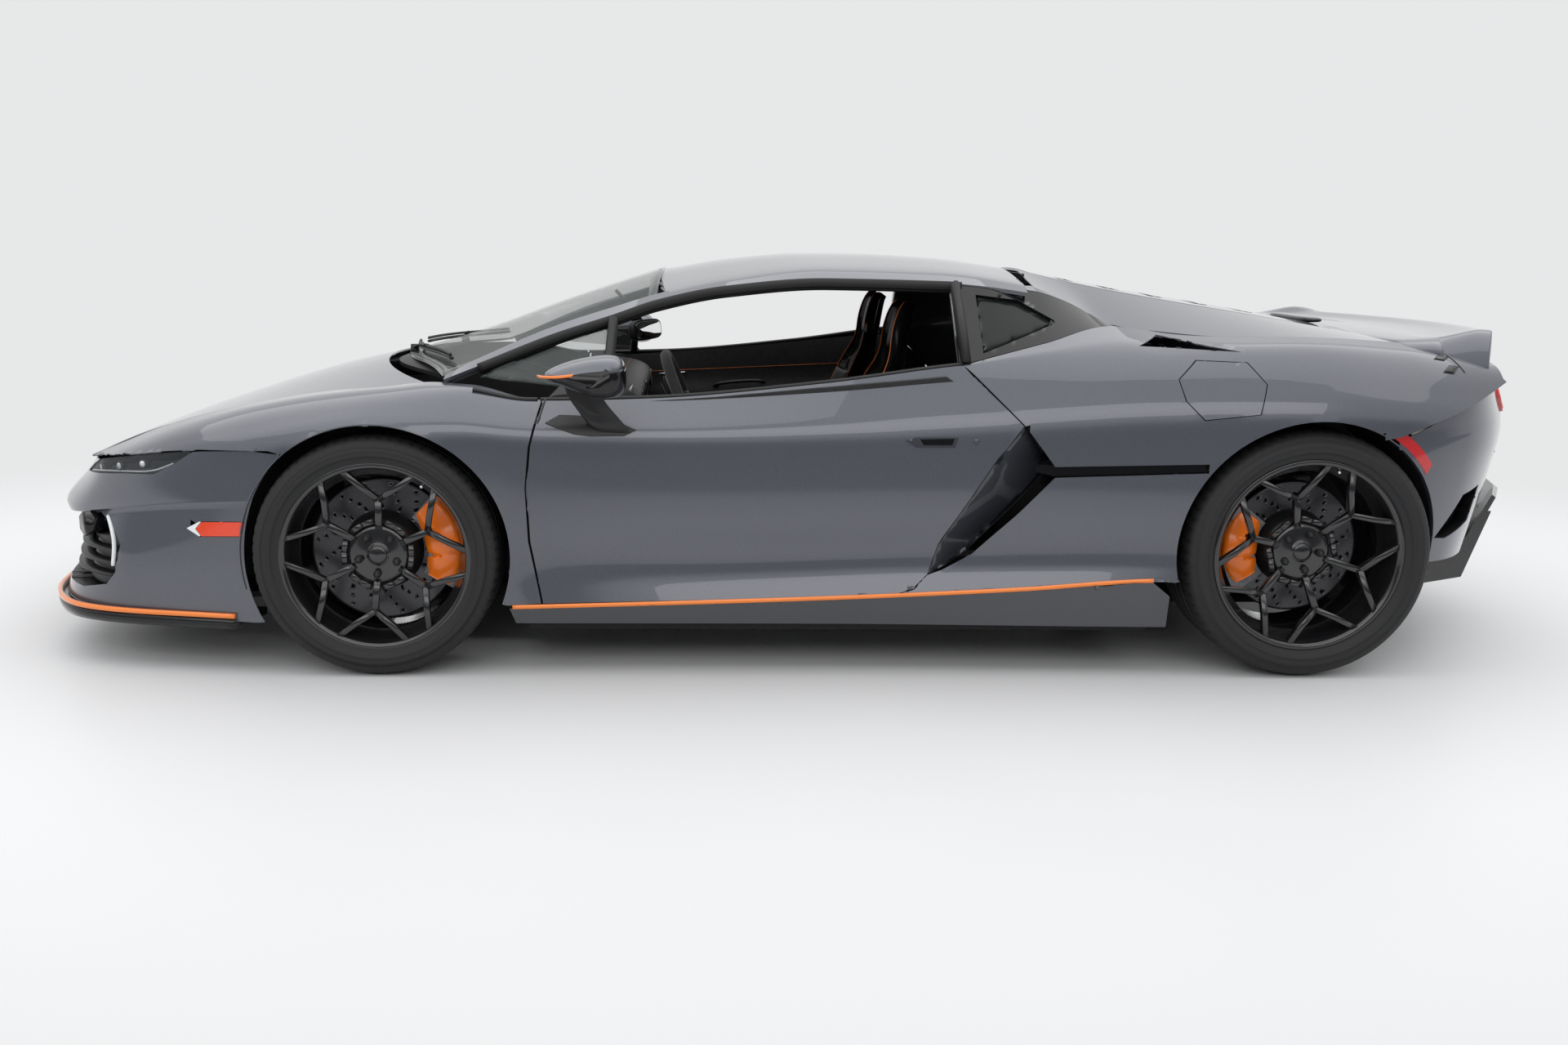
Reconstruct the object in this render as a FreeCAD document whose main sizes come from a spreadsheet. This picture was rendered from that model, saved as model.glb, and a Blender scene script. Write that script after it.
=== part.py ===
# A mid-engined two-seat supercar, built as separate panels, running gear and cabin pieces.
# Frame: +X runs rearwards, -Y is the car's left side, +Z is up, origin on the floor under the middle.
import FreeCAD, Part
import math
import os

from FreeCAD import Placement, Rotation, Vector

doc = FreeCAD.newDocument("supercar")
sheet = doc.addObject("Spreadsheet::Sheet", "Sizes")

# Driving dimensions, in millimetres and degrees
SIZES = [
    ("overall_length", 4706, "nose tip to rear bumper"),
    ("overall_width", 1996, "over the rear arches, without mirrors"),
    ("overall_height", 1201, "floor to roof crown"),
    ("wheelbase_share", 0.56481088, "front axle to rear axle, share of the overall length"),
    ("overhang_share", 0.23374416, "nose tip to front axle, share of the overall length"),
    ("front_track", 1680, "between front tyre middles"),
    ("rear_track", 1620, "between rear tyre middles"),
    ("front_tyre_radius", 343.3, "255/35 on a 20 inch rim"),
    ("front_tyre_width", 255, "section width"),
    ("front_rim_radius", 271, "rim lip"),
    ("rear_tyre_radius", 364.2, "325/30 on a 21 inch rim"),
    ("rear_tyre_width", 325, "section width"),
    ("rear_rim_radius", 284, "rim lip"),
    ("tyre_shoulder", 34, "rounding of the tyre shoulders"),
    ("rim_barrel", 10, "wall of the rim barrel"),
    ("hub_bore", 33, "bore of rim and disc over the hub spigot"),
    ("bearing_gap", 0.3, "between rotating and fixed pieces"),
    ("spoke_width", 17, "front face of a wheel spoke"),
    ("spoke_depth", 34, "depth of a wheel spoke"),
    ("spoke_forks", 6, "Y-shaped spokes in a wheel"),
    ("front_dish", 52, "front hub face behind the rim face"),
    ("rear_dish", 72, "rear hub face behind the rim face"),
    ("disc_offset", 88, "hub face to disc middle"),
    ("ball_radius", 20, "suspension ball joint"),
    ("apron_inner", 375, "inner face of the wheel-house plates"),
    ("apron_thickness", 16, "wheel-house plates"),
    ("seat_gap", 0.3, "between pieces that seat on each other"),
    ("hinge_pin", 7, "radius of the hinge pins"),
    ("flap_pin", 4, "radius of the fuel door's hinge pin"),
    ("hinge_play", 0.3, "hinge pin in its bracket"),
    ("door_gap", 9, "shut line round the doors"),
    ("front_disc_radius", 205, "ceramic front disc"),
    ("rear_disc_radius", 195, "ceramic rear disc"),
    ("disc_thickness", 34, "ventilated disc"),
    ("front_arch_radius", 374, "front wheel arch"),
    ("rear_arch_radius", 393, "rear wheel arch"),
    ("floor_clearance", 122, "underside of the floor"),
    ("floor_thickness", 16, "floor sandwich"),
    ("skin", 9, "thickness of the outer panels"),
    ("panel_gap", 7, "shut line between moving panels"),
    ("door_thickness", 118, "whole door, skin to inner trim"),
    ("glass", 6, "window glass"),
    ("roof_skin", 16, "roof panel with lining"),
    ("steering_rim_radius", 178, "steering wheel"),
    ("steering_rim_thickness", 30, "steering wheel rim"),
    ("steering_hub_radius", 52, "steering wheel hub"),
    ("steering_hub_depth", 34, "steering wheel hub"),
    ("steering_spoke_width", 34, "steering wheel spokes"),
    ("steering_spoke_depth", 14, "steering wheel spokes"),
    ("engine_half_width", 330, "engine block from its middle"),
    ("gearbox_half_width", 210, "gearbox from its middle"),
    ("silencer_half_width", 330, "exhaust box from its middle"),
    ("tailpipe_radius", 52, "outer radius of a tailpipe"),
    ("tailpipe_wall", 7, "wall of a tailpipe"),
    ("tailpipe_offset", 75, "tailpipe from the middle of the car"),
    ("skirt_depth", 40, "side skirt moulding"),
    ("diffuser_sweep", 0.275, "share of its length that the diffuser loses at its sides"),
]
for row, (alias, value, note) in enumerate(SIZES, start=1):
    sheet.set(f"A{row}", alias)
    sheet.set(f"B{row}", str(value))
    sheet.set(f"C{row}", note)
    sheet.setAlias(f"B{row}", alias)
doc.recompute()


def size(alias):
    """The sheet's value of one driving dimension."""
    return float(sheet.get(alias))


# Places that follow from the driving dimensions
NOSE_X = -size("overall_length") / 2
TAIL_X = size("overall_length") / 2
FRONT_AXLE_X = NOSE_X + round(size("overhang_share") * size("overall_length"), 2)
REAR_AXLE_X = FRONT_AXLE_X + round(size("wheelbase_share") * size("overall_length"), 2)
GAP = size("panel_gap")
SKIRT_DEPTH = size("skirt_depth")
DIFFUSER_HALF = 560.0
SKIN = size("skin")
FLOOR_Z = size("floor_clearance")
FLOOR_TOP = FLOOR_Z + size("floor_thickness")

# The styling lines below were drawn on a car of these sizes, and stretch with the sheet's values
DRAWN_X = (-2353.0, -1253.0, 1405.0, 2353.0)
DRAWN_WIDTH = 1996.0
DRAWN_HEIGHT = 1201.0
REAL_X = (NOSE_X, FRONT_AXLE_X, REAR_AXLE_X, TAIL_X)


def along(x):
    """Drawn length position to real length position, stretched between nose, axles and tail."""
    for (a, b), (c, d) in zip(zip(DRAWN_X, DRAWN_X[1:]), zip(REAL_X, REAL_X[1:])):
        if x <= b or b == DRAWN_X[-1]:
            return c + (x - a) * (d - c) / (b - a)


def across(y):
    """Drawn half-width to real half-width."""
    return y * size("overall_width") / DRAWN_WIDTH


def above(z):
    """Drawn height to real height."""
    return z * size("overall_height") / DRAWN_HEIGHT


def at(x, y, z):
    """A drawn point as a real one."""
    return Vector(along(x), across(y), above(z))


# Styling lines of the half body, each (length, half-width, height) from nose to tail
LINES = {
    "skirt_foot": [(-2050, 800, 150), (-1600, 900, 150), (-870, 930, 150), (0, 925, 150),
                   (1000, 950, 150), (1800, 930, 240), (2150, 800, 300)],
    "stripe": [(-2050, 840, 190), (-1650, 935, 178), (-870, 958, 200), (0, 952, 228), (567, 962, 259),
               (936, 975, 289), (1400, 985, 300), (1800, 950, 320), (2150, 780, 330)],
    "hollow": [(-2050, 830, 330), (-1650, 935, 330), (-1253, 975, 330), (-870, 955, 330), (-400, 940, 320),
               (100, 935, 330), (560, 945, 345), (936, 968, 360), (1405, 990, 400), (1800, 950, 420),
               (2150, 760, 450)],
    "waist": [(-2050, 810, 470), (-1650, 935, 470), (-1253, 985, 470), (-840, 945, 470), (-400, 925, 470),
              (100, 920, 480), (560, 940, 500), (936, 968, 520), (1405, 993, 560), (1800, 955, 580),
              (2150, 740, 600)],
    "shoulder": [(-2080, 730, 560), (-1850, 855, 615), (-1620, 930, 655), (-1253, 985, 715), (-1000, 970, 712),
                 (-830, 955, 700), (-400, 945, 695), (100, 940, 705), (560, 950, 735), (936, 970, 765),
                 (1405, 996, 785), (1800, 955, 765), (2100, 830, 740)],
    "crown": [(-2120, 650, 565), (-1850, 790, 668), (-1620, 845, 740), (-1400, 868, 785), (-1253, 875, 803),
              (-1050, 880, 812), (-830, 872, 778), (-500, 866, 787), (0, 862, 835), (380, 862, 889),
              (650, 870, 915), (936, 885, 938), (1405, 902, 955), (1700, 878, 935), (1900, 835, 905),
              (2060, 790, 880)],
    "hood_edge": [(-2150, 560, 575), (-1850, 655, 690), (-1620, 700, 748), (-1400, 720, 785),
                  (-1253, 735, 800), (-1100, 770, 815)],
    "hood_crease": [(-2200, 330, 560), (-1850, 400, 703), (-1620, 430, 768), (-1400, 460, 812),
                    (-1200, 500, 845)],
    "hood_middle": [(-2250, 0, 530), (-2100, 0, 605), (-1850, 0, 703), (-1620, 0, 775), (-1350, 0, 845),
                    (-1200, 0, 870)],
    "rail_foot": [(-1080, 800, 826), (-972, 745, 868), (-772, 690, 948), (-604, 660, 1003), (-474, 640, 1048),
                  (-275, 625, 1090), (24, 618, 1116), (367, 628, 1113), (640, 655, 1086), (860, 700, 1010)],
    "rail_top": [(-1090, 770, 832), (-972, 705, 890), (-772, 640, 975), (-604, 600, 1030), (-474, 575, 1070),
                 (-275, 555, 1115), (24, 545, 1150), (367, 550, 1145), (640, 575, 1110), (860, 620, 1040)],
    "roof_middle": [(-460, 0, 1148), (-268, 0, 1180), (-41, 0, 1199), (150, 0, 1201), (418, 0, 1190),
                    (640, 0, 1166)],
    "deck_edge": [(640, 575, 1100), (860, 645, 1000), (963, 690, 988), (1186, 760, 975), (1405, 775, 978),
                  (1700, 755, 965), (1900, 720, 935), (2000, 700, 915)],
    "deck_spine": [(640, 330, 1150), (860, 350, 1105), (1100, 370, 1065), (1405, 400, 1020), (1700, 430, 975),
                   (2000, 450, 935)],
    "deck_middle": [(640, 0, 1164), (882, 0, 1118), (1101, 0, 1083), (1393, 0, 1040), (1660, 0, 997),
                    (1910, 0, 962), (2000, 0, 950)],
}


def on_line(name, x):
    """Half-width and height of a styling line at a drawn length, by a curve that never overshoots its points."""
    pts = LINES[name]
    xs = [p[0] for p in pts]
    x = min(max(x, xs[0]), xs[-1])
    k = max(i for i in range(len(xs) - 1) if xs[i] <= x)
    share = (x - xs[k]) / (xs[k + 1] - xs[k])
    found = []
    for axis in (1, 2):
        v = [p[axis] for p in pts]
        slope = [(v[i + 1] - v[i]) / (xs[i + 1] - xs[i]) for i in range(len(xs) - 1)]

        def lean(i):
            if i == 0:
                return slope[0]
            if i == len(slope):
                return slope[-1]
            a, b = slope[i - 1], slope[i]
            return 0.0 if a * b <= 0 else 2 * a * b / (a + b)

        step = xs[k + 1] - xs[k]
        s, s2, s3 = share, share ** 2, share ** 3
        found.append((2 * s3 - 3 * s2 + 1) * v[k] + (s3 - 2 * s2 + s) * step * lean(k)
                     + (3 * s2 - 2 * s3) * v[k + 1] + (s3 - s2) * step * lean(k + 1))
    return found[0], found[1]


def inset(points, depth):
    """A section's points moved square to it by depth, to its right as it is walked."""
    moved = []
    for i, (y, z) in enumerate(points):
        sides = []
        for a, b in ((i - 1, i), (i, i + 1)):
            if 0 <= a and b < len(points):
                dy, dz = points[b][0] - points[a][0], points[b][1] - points[a][1]
                long = math.hypot(dy, dz)
                sides.append((-dz / long, dy / long))
        ny = sum(q[0] for q in sides) / len(sides)
        nz = sum(q[1] for q in sides) / len(sides)
        scale = depth / (ny * ny + nz * nz)
        moved.append((y + ny * scale, z + nz * scale))
    return moved


def stations(first, last, count):
    """Evenly spaced lengths from first to last."""
    return [first + (last - first) * i / (count - 1) for i in range(count)]


def under_skin(lines, first, last, count, depth):
    """The space inside a left-side skin, out to depth under its surface and in to the middle plane."""
    wires = []
    for x in stations(first, last, count):
        outer = [(-across(y), above(z)) for y, z in (on_line(n, x) for n in lines)]
        loop = inset(outer, -depth)
        loop = loop + [(0, loop[-1][1]), (0, loop[0][1])]
        wires.append(Part.makePolygon([Vector(along(x), y, z) for y, z in loop + loop[:1]]))
    return Part.makeLoft(wires, True, False)


def largest(shape):
    """The biggest solid of a cut, without what was cut off beyond it."""
    return max(shape.Solids, key=lambda solid: solid.Volume)


def skin_between(lines, first, last, count, depth, both_sides=False, sunk=0.0):
    """A panel lofted through sections between styling lines on the left side, or right across the car."""
    wires = []
    for x in stations(first, last, count):
        half = [(across(y), above(z)) for y, z in (on_line(n, x) for n in lines)]
        outer = [(-y, z) for y, z in half]
        if both_sides:
            outer = outer + [(y, z) for y, z in reversed(half) if y > 1]
        inner = inset(outer, -depth - sunk)
        if sunk:
            outer = inset(outer, -sunk)
        loop = outer + inner[::-1]
        wires.append(Part.makePolygon([Vector(along(x), y, z) for y, z in loop + loop[:1]]))
    return Part.makeLoft(wires, True, False)


def side_prism(points, y_from, y_to):
    """A prism whose outline is drawn in side view and that runs across the car."""
    ring = [Vector(along(x), y_from, above(z)) for x, z in points]
    face = Part.Face(Part.makePolygon(ring + ring[:1]))
    return face.extrude(Vector(0, y_to - y_from, 0))


def plan_prism(points, z_from, z_to):
    """A prism whose outline is drawn in plan and that stands upright."""
    ring = [Vector(along(x), across(y), z_from) for x, y in points]
    face = Part.Face(Part.makePolygon(ring + ring[:1]))
    return face.extrude(Vector(0, 0, z_to - z_from))


def grown(points, by):
    """A side-view outline grown by a distance, its corners mitred; it is listed anticlockwise."""
    out = []
    n = len(points)
    for i in range(n):
        ax, az = points[i - 1]
        bx, bz = points[i]
        cx, cz = points[(i + 1) % n]
        n1 = Vector(bz - az, -(bx - ax), 0).normalize()
        n2 = Vector(cz - bz, -(cx - bx), 0).normalize()
        mid = n1 + n2
        mid.multiply(2 * by / mid.dot(mid))
        out.append((bx + mid.x, bz + mid.y))
    return out


def mirrored(shape):
    """The same piece on the car's right side."""
    return shape.mirror(Vector(0, 0, 0), Vector(0, 1, 0))


def tidy(shape):
    """One solid or several, without stray faces."""
    solids = [s for s in shape.Solids if s.Volume > 1000]
    return solids[0] if len(solids) == 1 else Part.makeCompound(solids)


def bar(a, b, width, height):
    """A straight bar of rectangular section from a to b, its height upright."""
    run = b - a
    across_dir = Vector(0, 0, 1).cross(run)
    if across_dir.Length < 1e-6:
        across_dir = Vector(0, 1, 0)
    across_dir.normalize()
    up = run.cross(across_dir).normalize()
    w, h = across_dir * (width / 2), up * (height / 2)
    ring = [a - w - h, a + w - h, a + w + h, a - w + h]
    return Part.Face(Part.makePolygon(ring + ring[:1])).extrude(run)


def box(x0, x1, y0, y1, z0, z1):
    """A box between corner values."""
    return Part.makeBox(x1 - x0, y1 - y0, z1 - z0, Vector(x0, y0, z0))


NODES = []


def node(label, shape):
    """A document object that holds one sub-part."""
    piece = doc.addObject("Part::Feature", label)
    piece.Label = label
    piece.Shape = shape
    NODES.append(piece)
    return piece


def bound(kind, name, formulas, turn=None):
    """A Part object whose properties follow the sheet through expressions, turned first where a turn is given."""
    piece = doc.addObject(kind, name)
    if turn is not None:
        piece.Placement = Placement(Vector(), turn)
    for prop, formula in formulas.items():
        piece.setExpression(prop, formula)
    return piece


def joined(kind, name, first, others):
    """A Part boolean of document objects: one cut or fused with the others."""
    piece = doc.addObject(kind, name)
    if kind == "Part::MultiFuse":
        piece.Shapes = [first] + others
    else:
        piece.Base, piece.Tool = first, others[0]
    return piece


def bound_node(label, piece):
    """Takes a bound document object as one sub-part."""
    piece.Label = label
    NODES.append(piece)
    return piece


def length_at(x):
    """The expression of a drawn length or length position."""
    return f"Sizes.overall_length * {x} / 4706"


def height_at(z):
    """The expression of a drawn height."""
    return f"Sizes.overall_height * {z} / 1201"


def bound_box(name, xs, half_or_ys, zs, lift="0"):
    """A Part box between drawn lengths and heights; its half-width is an expression."""
    return bound("Part::Box", name, {
        "Length": length_at(xs[1] - xs[0]), "Width": f"2 * ({half_or_ys})", "Height": f"{height_at(zs[1] - zs[0])}",
        "Placement.Base.x": length_at(xs[0]), "Placement.Base.y": f"-({half_or_ys})",
        "Placement.Base.z": f"{height_at(zs[0])} + {lift}"})


CROSSWISE = Rotation(Vector(1, 0, 0), -90)
LENGTHWISE = Rotation(Vector(0, 1, 0), 90)


def row_sheet(rows, drop):
    """A pressed sheet through cross rows, each from the left edge to the middle, mirrored; drop is its thickness."""
    grid = []
    for row in rows:
        left = [at(x, -y, z) for x, y, z in row]
        grid.append(left + [Vector(p.x, -p.y, p.z) for p in reversed(left) if p.y < -1])
    surface = Part.BSplineSurface()
    surface.interpolate(grid)
    return surface.toShape().extrude(drop * -1.0)


def level_loft(levels, depth):
    """A wrap-round bumper lofted through levels, each a plan line from its middle round to its left end."""
    wires = []
    for z, plan in levels:
        half = [(along(x), -across(y)) for x, y in plan]
        outer = half[:0:-1] + [(x, -y) for x, y in half]
        sign = 1.0 if half[0][0] < 0 else -1.0
        inner = inset(outer, -sign * depth)
        loop = [Vector(x, y, above(z)) for x, y in outer + inner[::-1]]
        wires.append(Part.makePolygon(loop + loop[:1]))
    return Part.makeLoft(wires, True, True)


def across_cylinder(x, z, radius, y_from, y_to):
    """A cylinder that lies across the car."""
    return Part.makeCylinder(radius, y_to - y_from, Vector(x, y_from, z), Vector(0, 1, 0))


def ring_across(x, z, outer, inner, y_from, y_to):
    """A ring that lies across the car."""
    return across_cylinder(x, z, outer, y_from, y_to).cut(across_cylinder(x, z, inner, y_from - 1, y_to + 1))


FRONT_TYRE_R = size("front_tyre_radius")
REAR_TYRE_R = size("rear_tyre_radius")
FRONT_ARCH = across_cylinder(FRONT_AXLE_X, FRONT_TYRE_R, size("front_arch_radius"), -1200, -500)
REAR_ARCH = across_cylinder(REAR_AXLE_X, REAR_TYRE_R, size("rear_arch_radius"), -1200, -500)

# Outlines of the side view, anticlockwise with height upwards
DOOR_OUTLINE = [(-790, 212), (0, 232), (224, 241), (299, 293), (333, 391), (488, 637), (519, 674), (562, 730),
                (420, 868), (377, 905), (-200, 905), (-803, 905), (-792, 777), (-821, 658), (-832, 543),
                (-825, 389)]
SCOOP_OUTLINE = [(299, 293), (345, 308), (427, 356), (552, 477), (653, 585), (1085, 605), (1085, 631), (652, 616),
                 (562, 730), (519, 674), (488, 637), (333, 391)]
FUEL_OUTLINE = [(1015, 806), (1065, 756), (1217, 774), (1241, 855), (1194, 912), (1054, 915), (999, 864)]
SIDE_PANE_REAR = [(452, 918), (700, 1010), (585, 1072), (452, 1086)]
SIDE_PANE_FRONT = [(-985, 838), (-610, 800), (-610, 975), (-760, 925)]
WEDGE_INTAKE = [(905, 950), (1190, 940), (975, 975)]


SIDE_LINES = ["stripe", "hollow", "waist", "shoulder", "crown"]
DOOR_GAP = size("door_gap")
SEAT = size("seat_gap")
DOOR_PIN = (along(-735), -across(918))
DOOR_HINGE_HEIGHTS = (above(345), above(560))


def door_left():
    """The door: outer skin over a trim box that stops short of the shut lines, pocketed for its two hinges."""
    skin = skin_between(SIDE_LINES, -860, 600, 13, SKIN)
    skin = skin.common(side_prism(grown(DOOR_OUTLINE, -DOOR_GAP / 2), -1200, -600))
    core_wires = []
    for x in stations(-812, 548, 7):
        outer = [(-across(y), above(z)) for y, z in (on_line(n, x) for n in SIDE_LINES)]
        outer = inset(outer, -SKIN * 0.5)
        trim_y = -across(862) + size("door_thickness") - SKIN * 6.5
        loop = outer + [(trim_y, outer[-1][1]), (trim_y, outer[0][1])]
        core_wires.append(Part.makePolygon([Vector(along(x), y, z) for y, z in loop + loop[:1]]))
    core = Part.makeLoft(core_wires, True, False)
    core = core.common(side_prism(grown(DOOR_OUTLINE, -DOOR_GAP / 2 - 16), -1200, -600))
    pin_x, pin_y = DOOR_PIN
    pins = []
    for z in DOOR_HINGE_HEIGHTS:
        core = core.cut(box(pin_x - 150, pin_x + 24, pin_y - 15, -700, z - 20, z + 20))
        pins.append(Part.makeCylinder(size("hinge_pin"), 44, Vector(pin_x, pin_y, z - 22)))
    return skin.fuse([core] + pins)


def door_hinges():
    """The body halves of the door hinges, bored for the pins, on a post behind the front wheel."""
    pin_x, pin_y = DOOR_PIN
    post_x = along(-838)
    bore = size("hinge_pin") + size("hinge_play")
    parts = [box(post_x, post_x + 16, -770, -690, FLOOR_Z + 1, above(700))]
    for z in DOOR_HINGE_HEIGHTS:
        arm = bar(Vector(post_x + 8, -760, z), Vector(pin_x, pin_y, z), 22, 16)
        eye = Part.makeCylinder(bore + 6, 16, Vector(pin_x, pin_y, z - 8))
        hole = Part.makeCylinder(bore, 60, Vector(pin_x, pin_y, z - 30))
        parts.append(arm.fuse(eye).cut(hole))
    return parts


def fender_left():
    """The front wing with its wheel arch, from the headlamp back to the door gap."""
    skin = skin_between(SIDE_LINES + ["hood_edge"], -1900, -1120, 11, SKIN)
    tail = skin_between(SIDE_LINES, -1150, -780, 7, SKIN)
    keep = [(-1900, 640), (-1400, 640), (-1400, 195), (-880, 205), (-790, 212), (-825, 389), (-832, 543),
            (-821, 658), (-792, 777), (-803, 905), (-1900, 905)]
    return skin.fuse(tail).common(side_prism(grown(keep, -DOOR_GAP / 2), -1200, -500)).cut(FRONT_ARCH)


def quarter_left(with_flap):
    """The rear quarter with its arch, the scoop behind the door, the fuel door's opening and the upper intake."""
    side = skin_between(SIDE_LINES, 250, 2020, 15, SKIN)
    top = skin_between(["crown", "deck_edge", "deck_spine"], 868, 1985, 10, SKIN, sunk=3)
    keep = [(224, 255), (940, 300), (1500, 300), (1500, 690), (1628, 715), (1895, 813), (2010, 860), (2010, 1200),
            (200, 1200), (200, 905), (377, 905), (420, 868), (562, 730), (519, 674), (488, 637), (333, 391),
            (299, 293)]
    side = side.common(side_prism(grown(keep, -DOOR_GAP / 2), -1200, -300)).cut(REAR_ARCH)
    side = side.cut(side_prism(SCOOP_OUTLINE, -1200, -500))
    if with_flap:
        side = side.cut(side_prism(grown(FUEL_OUTLINE, GAP), -1200, -500))
    top = top.cut(side_prism(WEDGE_INTAKE, -1200, -600))
    return side.fuse([top] + (flap_bracket() if with_flap else []))


FLAP_PIN = Vector(along(948), across(-918.7), above(826.1))
FLAP_OUT = Vector(0, -0.8957, 0.4446)
FLAP_UP = Vector(0, 0.4446, 0.8957)


def flap_block(points, middle, half_width):
    """A block of the flap's hinge, its outline given rearward and outward of the pin."""
    ring = [FLAP_PIN + Vector(1, 0, 0) * u + FLAP_OUT * v + FLAP_UP * (middle - half_width) for u, v in points]
    return Part.Face(Part.makePolygon(ring + ring[:1])).extrude(FLAP_UP * (2 * half_width))


def flap_rod(radius, half_length):
    """A round rod along the flap's hinge line."""
    return Part.makeCylinder(radius, 2 * half_length, FLAP_PIN - FLAP_UP * half_length, FLAP_UP)


def flap_bracket():
    """Two ears behind the quarter's skin that hold the flap's pin."""
    hole = flap_rod(size("flap_pin") + size("hinge_play"), 60)
    outline = [(-9, -9), (9, -9), (11, 15), (-11, 15)]
    ears = [flap_block(outline, middle, 4).cut(hole) for middle in (-20, 20)]
    return ears


def fuel_flap():
    """The fuel door, cut from the same surface as the quarter, on a swan-neck arm and its pin."""
    skin = skin_between(["waist", "shoulder", "crown"], 950, 1300, 4, SKIN)
    door = skin.common(side_prism(FUEL_OUTLINE, -1200, -500))
    steps = [math.radians(a) for a in stations(-94, 15, 12)]
    neck = [(63.5 * math.cos(a), 63.5 * math.sin(a)) for a in steps]
    neck += [(73 * math.cos(a), 73 * math.sin(a)) for a in reversed(steps)]
    spoke = [(-6, 6), (-6, -72), (4, -72), (6, 6)]
    return door.fuse([flap_block(neck, 0, 12), flap_block(spoke, 0, 12), flap_rod(size("flap_pin"), 26)])


def headlamp_left():
    """The slit headlamp between bonnet and bumper."""
    outline = [(-2208, 500.3), (-1985, 500.3), (-1852, 586), (-2089, 572), (-2151, 545)]
    body = plan_prism([(-2215, -440), (-2190, -440), (-1850, -640), (-1850, -800), (-2050, -770), (-2130, -690),
                       (-2190, -560)], above(500) + SEAT, above(590))
    return body.common(side_prism(outline, -900, -400))


def front_bumper():
    """The front bumper round to the wheel arches, with its two intakes and their grilles."""
    levels = [
        (166, [(-2322, 0), (-2302, 450), (-2215, 700), (-2060, 838), (-1600, 930)]),
        (240, [(-2300, 0), (-2272, 450), (-2195, 700), (-2055, 834), (-1600, 938)]),
        (392, [(-2262, 0), (-2222, 450), (-2165, 690), (-2050, 818), (-1600, 945)]),
        (398, [(-2335, 0), (-2285, 450), (-2180, 690), (-2050, 817), (-1600, 945)]),
        (430, [(-2353, 0), (-2313, 450), (-2190, 685), (-2055, 805), (-1600, 944)]),
        (500, [(-2305, 0), (-2240, 450), (-2135, 680), (-2040, 770), (-1600, 940)]),
    ]
    shell = level_loft(levels, 16)
    side = skin_between(["waist", "shoulder"], -2060, -1590, 6, SKIN)
    side = side.common(side_prism([(-2060, 495), (-1595, 495), (-1595, 632), (-1830, 622), (-1960, 515)],
                                  -1200, -500))
    mouth = plan_prism([(-2400, 250), (-2400, 640), (-2000, 640), (-2000, 250)], 215, 385)
    side_mouth = mouth.fuse(mirrored(mouth))
    middle = plan_prism([(-2400, -190), (-2400, 190), (-2100, 190), (-2100, -190)], 225, 300)
    shell = shell.fuse([side, mirrored(side)]).cut(side_mouth.fuse(middle))
    arches = FRONT_ARCH.fuse(mirrored(FRONT_ARCH))
    return shell.cut(arches)


def front_splitter():
    """The splitter blade under the bumper, a flat plate with a raised outer edge."""
    plan = [(-2341, 0), (-2325, 450), (-2235, 720), (-2080, 868), (-1652, 938), (-1652, 700), (-1900, 560),
            (-1900, 0)]
    ring = plan + [(x, -y) for x, y in reversed(plan[1:-1])]
    return plan_prism(ring, 128, 166)


HOOD_PIN = (along(-1140), above(772))


def hood_brackets():
    """The arms behind the bonnet that carry its hinge pins."""
    pin_x, pin_z = HOOD_PIN
    arms = []
    for y in (-692, 692):
        hole = across_cylinder(pin_x, pin_z, size("hinge_pin") + size("hinge_play"), y - 20, y + 20)
        arm = bar(Vector(along(-835), y, above(685)), Vector(pin_x, y, pin_z), 16, 26)
        eye = across_cylinder(pin_x, pin_z, size("hinge_pin") + 6, y - 8, y + 8)
        arms.append(arm.fuse(eye).cut(hole))
    return arms


def hood():
    """The bonnet over the front boot, one pressed sheet."""
    rows = []
    edge = [(-2165, 560, 566), (-2000, 610, 640), (-1850, 648, 690), (-1620, 692, 748), (-1400, 712, 785),
            (-1250, 728, 800), (-1128, 752, 810)]
    middle = [(-2283, 0, 520), (-2110, 0, 600), (-1950, 0, 670), (-1720, 0, 748), (-1560, 0, 797),
              (-1440, 0, 826), (-1365, 0, 842)]
    for (ex, ey, ez), (mx, _, mz) in zip(edge, middle):
        rows.append([(mx + (ex - mx) * f ** 2.2, ey * f, mz + (ez - mz) * f ** 1.7) for f in (1, 0.8, 0.6, 0.4, 0.2, 0)])
    sheet_metal = row_sheet(rows, Vector(0, 0, 14))
    pin_x, pin_z = HOOD_PIN
    lugs = []
    for y in (-715, 715):
        lugs.append(box(pin_x - 24, pin_x + 10, y - 5, y + 5, pin_z - 14, pin_z + 52))
        lo, hi = sorted((y, y - math.copysign(34, y)))
        lugs.append(across_cylinder(pin_x, pin_z, size("hinge_pin"), lo, hi))
    whole = sheet_metal.fuse(lugs)
    above_sheet = row_sheet([[(x, y, z + 60) for x, y, z in row] for row in rows], Vector(0, 0, 60))
    return largest(whole.cut(above_sheet))


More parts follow.
